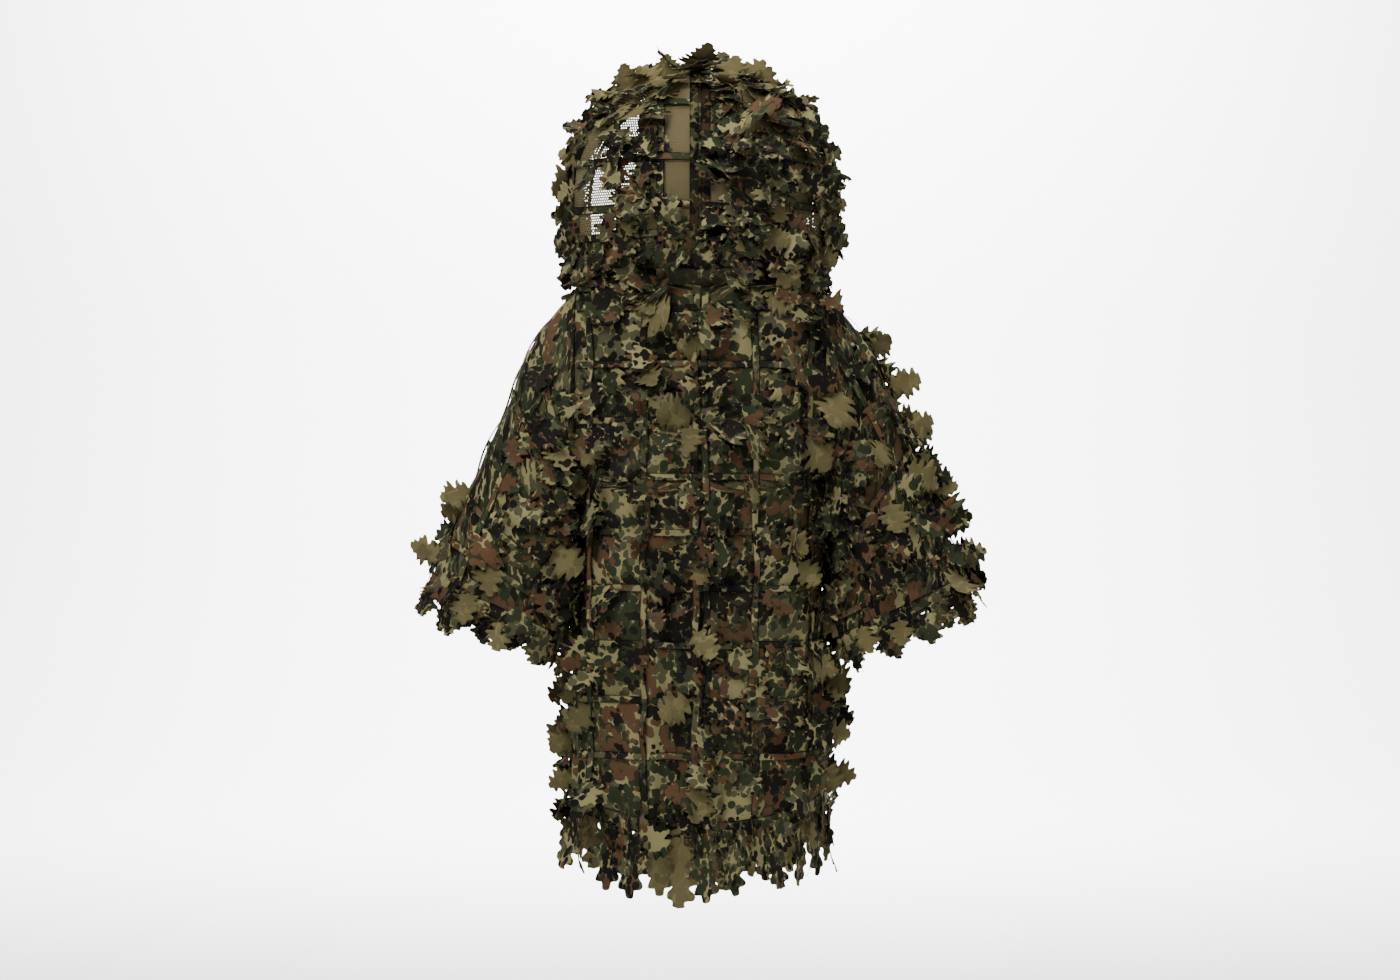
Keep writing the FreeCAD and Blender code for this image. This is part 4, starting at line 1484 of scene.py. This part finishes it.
def rim_path(y, count, inset=0.0):
    places, normals = [], []
    for k in range(count + 1):
        turn = math.radians(mix(-121.5, 121.5, k / count))
        way = Vector((math.sin(turn), 0.0, math.cos(turn)))
        place, _ = around_hood(way, y)
        if place is not None and (place - Vector((0, y, 0.13))).dot(way) > 0.0 and place.z > hood_low:
            places.append(place - way * inset)
            normals.append(way)
    return smooth_line(places, 2), smooth_line(normals, 4)


def build_rim():
    heap = Heap()
    places, normals = rim_path(hood_rim + 0.011, 160)
    ribbon(heap, places, normals, 0.021, 0.0012, 0.0012, 0, 4.0)
    tape_object(heap, "hood_rim_band_cloth", ["hood_rim_band"], "hood")
    heap = Heap()
    places, normals = rim_path(hood_rim + 0.003, 160, 0.0015)
    places[:, 1] -= 0.0055
    radius, m = 0.0032, 10
    verts, uvs, faces = [], [], []
    for k, (p, n) in enumerate(zip(places, normals)):
        for c in range(m):
            a = 2.0 * math.pi * c / m
            verts.append(p + n * (radius * math.cos(a)) + np.array((0, radius * math.sin(a), 0)))
            uvs.append((0.02 * c / m, 0.005 * k))
    for k in range(len(places) - 1):
        for c in range(m):
            j = (c + 1) % m
            faces.append([k * m + c, k * m + j, (k + 1) * m + j, (k + 1) * m + c])
    faces.append(list(reversed(range(m))))
    faces.append([(len(places) - 1) * m + c for c in range(m)])
    heap.add(verts, faces, uvs, [0] * len(faces))
    tape_object(heap, "hood_rim_piping_cloth", ["hood_rim_piping"], "hood",
                materials=[piping_cloth, thread, piping_cloth])


def build_neck():
    heap = Heap()
    low, high = lo("neck_band"), hi("neck_band")
    a, b = high.x, high.y
    count = 120
    z, width = (low.z + high.z) / 2.0, high.z - low.z
    places, normals = [], []
    for k in range(count + 1):
        turn = mix(-math.pi / 2.0 + 0.062, 1.5 * math.pi - 0.062, k / count)
        places.append(Vector((a * math.cos(turn), b * math.sin(turn), z)))
        normals.append(Vector((math.cos(turn), math.sin(turn), 0.0)))
    ribbon(heap, places, normals, width, 0.0022, -0.0024, 0, 1.0)
    for up in (-0.4, 0.4):
        for p, q, normal in zip(places, places[1:], normals):
            for part in (0.25, 0.75):
                spot = p.lerp(q, part) + Vector((0, 0, up * width))
                way = (q - p).normalized()
                small_box(heap, spot, way, Vector((0, 0, 1)), normal, (0.0024, 0.0006, 0.0008), 1)
    tape_object(heap, "neck_band_cloth", ["neck_band"], "coat")
    heap = Heap()
    low, high = lo("hanger_loop"), hi("hanger_loop")
    z = (low.z + high.z) / 2.0
    places, normals = [], []
    for k in range(41):
        t = k / 40.0
        x = mix(low.x + 0.002, high.x - 0.002, t)
        drop = ease(min(t, 1.0 - t) / 0.12)
        y = mix(high.y - 0.001, low.y + 0.001, drop)
        places.append(Vector((x, y, z - 0.002 * math.sin(math.pi * t))))
        normals.append(Vector((0, -1.0, 0.0)))
    ribbon(heap, places, normals, 0.008, 0.0014, 0.0, 0, 0.0)
    tape_object(heap, "hanger_loop_webbing", ["hanger_loop"], "coat",
                materials=[web_cloth, thread, web_cloth])
    low, high = lo("hood_join_tape"), hi("hood_join_tape")
    ni, nj = 30, 10
    grid = np.zeros((ni, nj, 3))
    for i in range(ni):
        for j in range(nj):
            t = j / (nj - 1.0)
            x = mix(low.x, high.x, i / (ni - 1.0))
            dip = 0.002 * math.sin(math.pi * t) + 0.0012 * math.sin(i * 0.9)
            grid[i, j] = (x, mix(low.y + 0.001, high.y - 0.0004, t), mix(low.z, high.z, t) - dip)
    outward = np.broadcast_to(np.array((0, 0.3, 1.0)), grid.shape)
    obj = grid_cloth("hood_join_tape_cloth", grid, outward, CLOTH, [camo_tape, camo_inside], (7.0, 0.0))
    dress(obj, ["hood_join_tape"], "coat")


def build_zip():
    for side, hand in HANDS:
        heap = Heap()
        low, high = lo("zip_tape_" + hand), hi("zip_tape_" + hand)
        places = [Vector(((low.x + high.x) / 2.0, high.y, mix(low.z, high.z, k / 160.0))) for k in range(161)]
        ribbon(heap, places, [Vector((0, -1.0, 0))] * 161, high.x - low.x, high.y - low.y, 0.0, 0, 0.5)
        tape_object(heap, "zip_tape_cloth_" + hand, ["zip_tape_" + hand], "coat",
                    materials=[zip_cloth, thread, thread])
    heap = Heap()
    low, high = lo("zip_coils"), hi("zip_coils")
    step = 0.0024
    count = int((high.z - low.z) / step)
    for k in range(count):
        z = low.z + (k + 0.5) * step
        for side in (1, -1):
            shift = 0.25 * step * side
            centre = (side * (high.x + 0.0009) / 2.0, (low.y + high.y) / 2.0, z + shift)
            size = (high.x - 0.0009, step * 0.62, high.y - low.y)
            small_box(heap, centre, (1, 0, 0), (0, 0, 1), (0, -1, 0), size)
    obj = heap.build("zip_teeth", [zip_plastic], smooth=False)
    dress(obj, ["zip_coils"], "coat")
    for node, body, slot, material, width in (("zip_stops", "coat", "zip_plastic", zip_metal, 0.0003),
                                              ("zip_slider", "slider", "zip_metal", zip_metal, 0.0004),
                                              ("zip_pull", "pull", "zip_metal", zip_metal, 0.0003)):
        obj = frame["nodes"][node].copy()
        obj.data = obj.data.copy()
        obj.name = node + "_finished"
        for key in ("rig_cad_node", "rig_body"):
            if key in obj:
                del obj[key]
        obj.parent = None
        bpy.context.scene.collection.objects.link(obj)
        obj.data.materials.clear()
        obj.data.materials.append(material)
        weld = obj.modifiers.new("weld", "WELD")
        weld.merge_threshold = 0.00001
        bevel = obj.modifiers.new("bevel", "BEVEL")
        bevel.width = width
        bevel.segments = 2
        bevel.angle_limit = math.radians(40)
        dress(obj, [node], body)


build_trunk_tapes()
build_seam_tapes()
build_hem_band()
build_sleeve_tapes()
build_hood_tapes()
build_rim()
build_neck()
build_zip()


# ---------------------------------------------------------------- cloths

def declare_sheets():
    """Cut sizes of the pattern pieces, width by length, and what is sewn on each."""
    cuts = [("hood_crown_lining", 0.26, 0.40, []), ("hood_join_tape_cloth", 0.14, 0.035, [])]
    for hand in ("left", "right"):
        def of_hand(*names):
            return [name + "_cloth_" + hand for name in names]

        first = hand == "left"
        back = of_hand("back_leaf", "side_leaf", "back_column_tape", "seam_tape")
        back += ["back_row_tape_cloth", "hem_band_cloth"] if first else ["centre_back_tape_cloth",
                                                                         "hem_fringe_cloth"]
        front = of_hand("front_leaf", "front_row_tape", "front_column_tape", "zip_tape")
        yoke = ["shoulder_leaf_cloth", "neck_band_cloth", "hanger_loop_webbing"] if first else []
        rim = ["hood_rim_band_cloth", "hood_rim_piping_cloth", "hood_rim_leaf_cloth"]
        rim = rim if first else ["hood_row_tape_cloth", "hood_centre_tape_cloth"]
        cuts += [("back_panel_" + hand + "_cloth", 0.30, 0.84, back),
                 ("front_panel_" + hand + "_cloth", 0.30, 0.84, front),
                 ("shoulder_yoke_back_" + hand + "_cloth", 0.23, 0.145, yoke),
                 ("shoulder_yoke_front_" + hand + "_cloth", 0.23, 0.145, []),
                 ("sleeve_back_panel_" + hand + "_cloth", 0.42, 0.32, of_hand("sleeve_leaf", "sleeve_tape")),
                 ("sleeve_front_panel_" + hand + "_cloth", 0.42, 0.32, of_hand("cuff_band", "cuff_fringe")),
                 ("hood_netting_" + hand, 0.40, 0.34, of_hand("hood_leaf", "hood_column_tape")),
                 ("hood_skirt_cloth_" + hand, 0.40, 0.055, rim)]


declare_sheets()


# ---------------------------------------------------- stage, light, camera

def stage():
    floor_z = cad_bounds[0][2] - 0.53
    verts, faces = [], []
    profile = [(12.0, 0.0), (-6.5, 0.0)]
    for k in range(1, 13):
        a = math.radians(90.0 * k / 12)
        profile.append((-6.5 - 2.0 * math.sin(a), 2.0 - 2.0 * math.cos(a)))
    profile.append((-8.5, 10.0))
    for y, z in profile:
        verts.extend([(-14.0, y, floor_z + z), (14.0, y, floor_z + z)])
    for k in range(len(profile) - 1):
        faces.append([2 * k, 2 * k + 1, 2 * k + 3, 2 * k + 2])
    mesh = bpy.data.meshes.new("studio floor")
    mesh.from_pydata(verts, [], faces)
    mesh.polygons.foreach_set("use_smooth", np.ones(len(mesh.polygons), bool))
    paper = bpy.data.materials.new("pale paper")
    paper.use_nodes = True
    shader = paper.node_tree.nodes["Principled BSDF"]
    shader.inputs["Base Color"].default_value = (0.93, 0.93, 0.93, 1.0)
    shader.inputs["Roughness"].default_value = 0.9
    mesh.materials.append(paper)
    obj = bpy.data.objects.new("studio_floor", mesh)
    bpy.context.scene.collection.objects.link(obj)
    world = bpy.data.worlds.new("studio")
    world.use_nodes = True
    world.node_tree.nodes["Background"].inputs["Color"].default_value = (1.0, 1.0, 1.0, 1.0)
    world.node_tree.nodes["Background"].inputs["Strength"].default_value = 0.26
    bpy.context.scene.world = world
    target = Vector((0.0, 0.0, -0.3))
    lamps = (("key", (1.2, 2.8, 2.0), 1.2, 105.0), ("fill", (-2.6, 3.0, 0.8), 2.2, 16.0),
             ("top", (0.0, 0.5, 2.6), 1.2, 75.0), ("backdrop", (0.0, -5.2, 3.4), 4.0, 2200.0))
    for name, place, size, power in lamps:
        light = bpy.data.lights.new(name, "AREA")
        light.energy = power
        light.size = size
        lamp = bpy.data.objects.new(name, light)
        lamp.location = place
        aim = target if name != "backdrop" else Vector((0.0, -8.5, -0.2))
        lamp.rotation_euler = (aim - Vector(place)).to_track_quat("-Z", "Y").to_euler()
        bpy.context.scene.collection.objects.link(lamp)


def camera():
    data = bpy.data.cameras.new("camera")
    data.sensor_width = 36.0
    data.lens = 77.9
    obj = bpy.data.objects.new("camera", data)
    obj.location = (0.0, 5.0, -0.347)
    obj.rotation_euler = (math.radians(90.0), 0.0, math.radians(180.0))
    bpy.context.scene.collection.objects.link(obj)
    bpy.context.scene.camera = obj


stage()
camera()
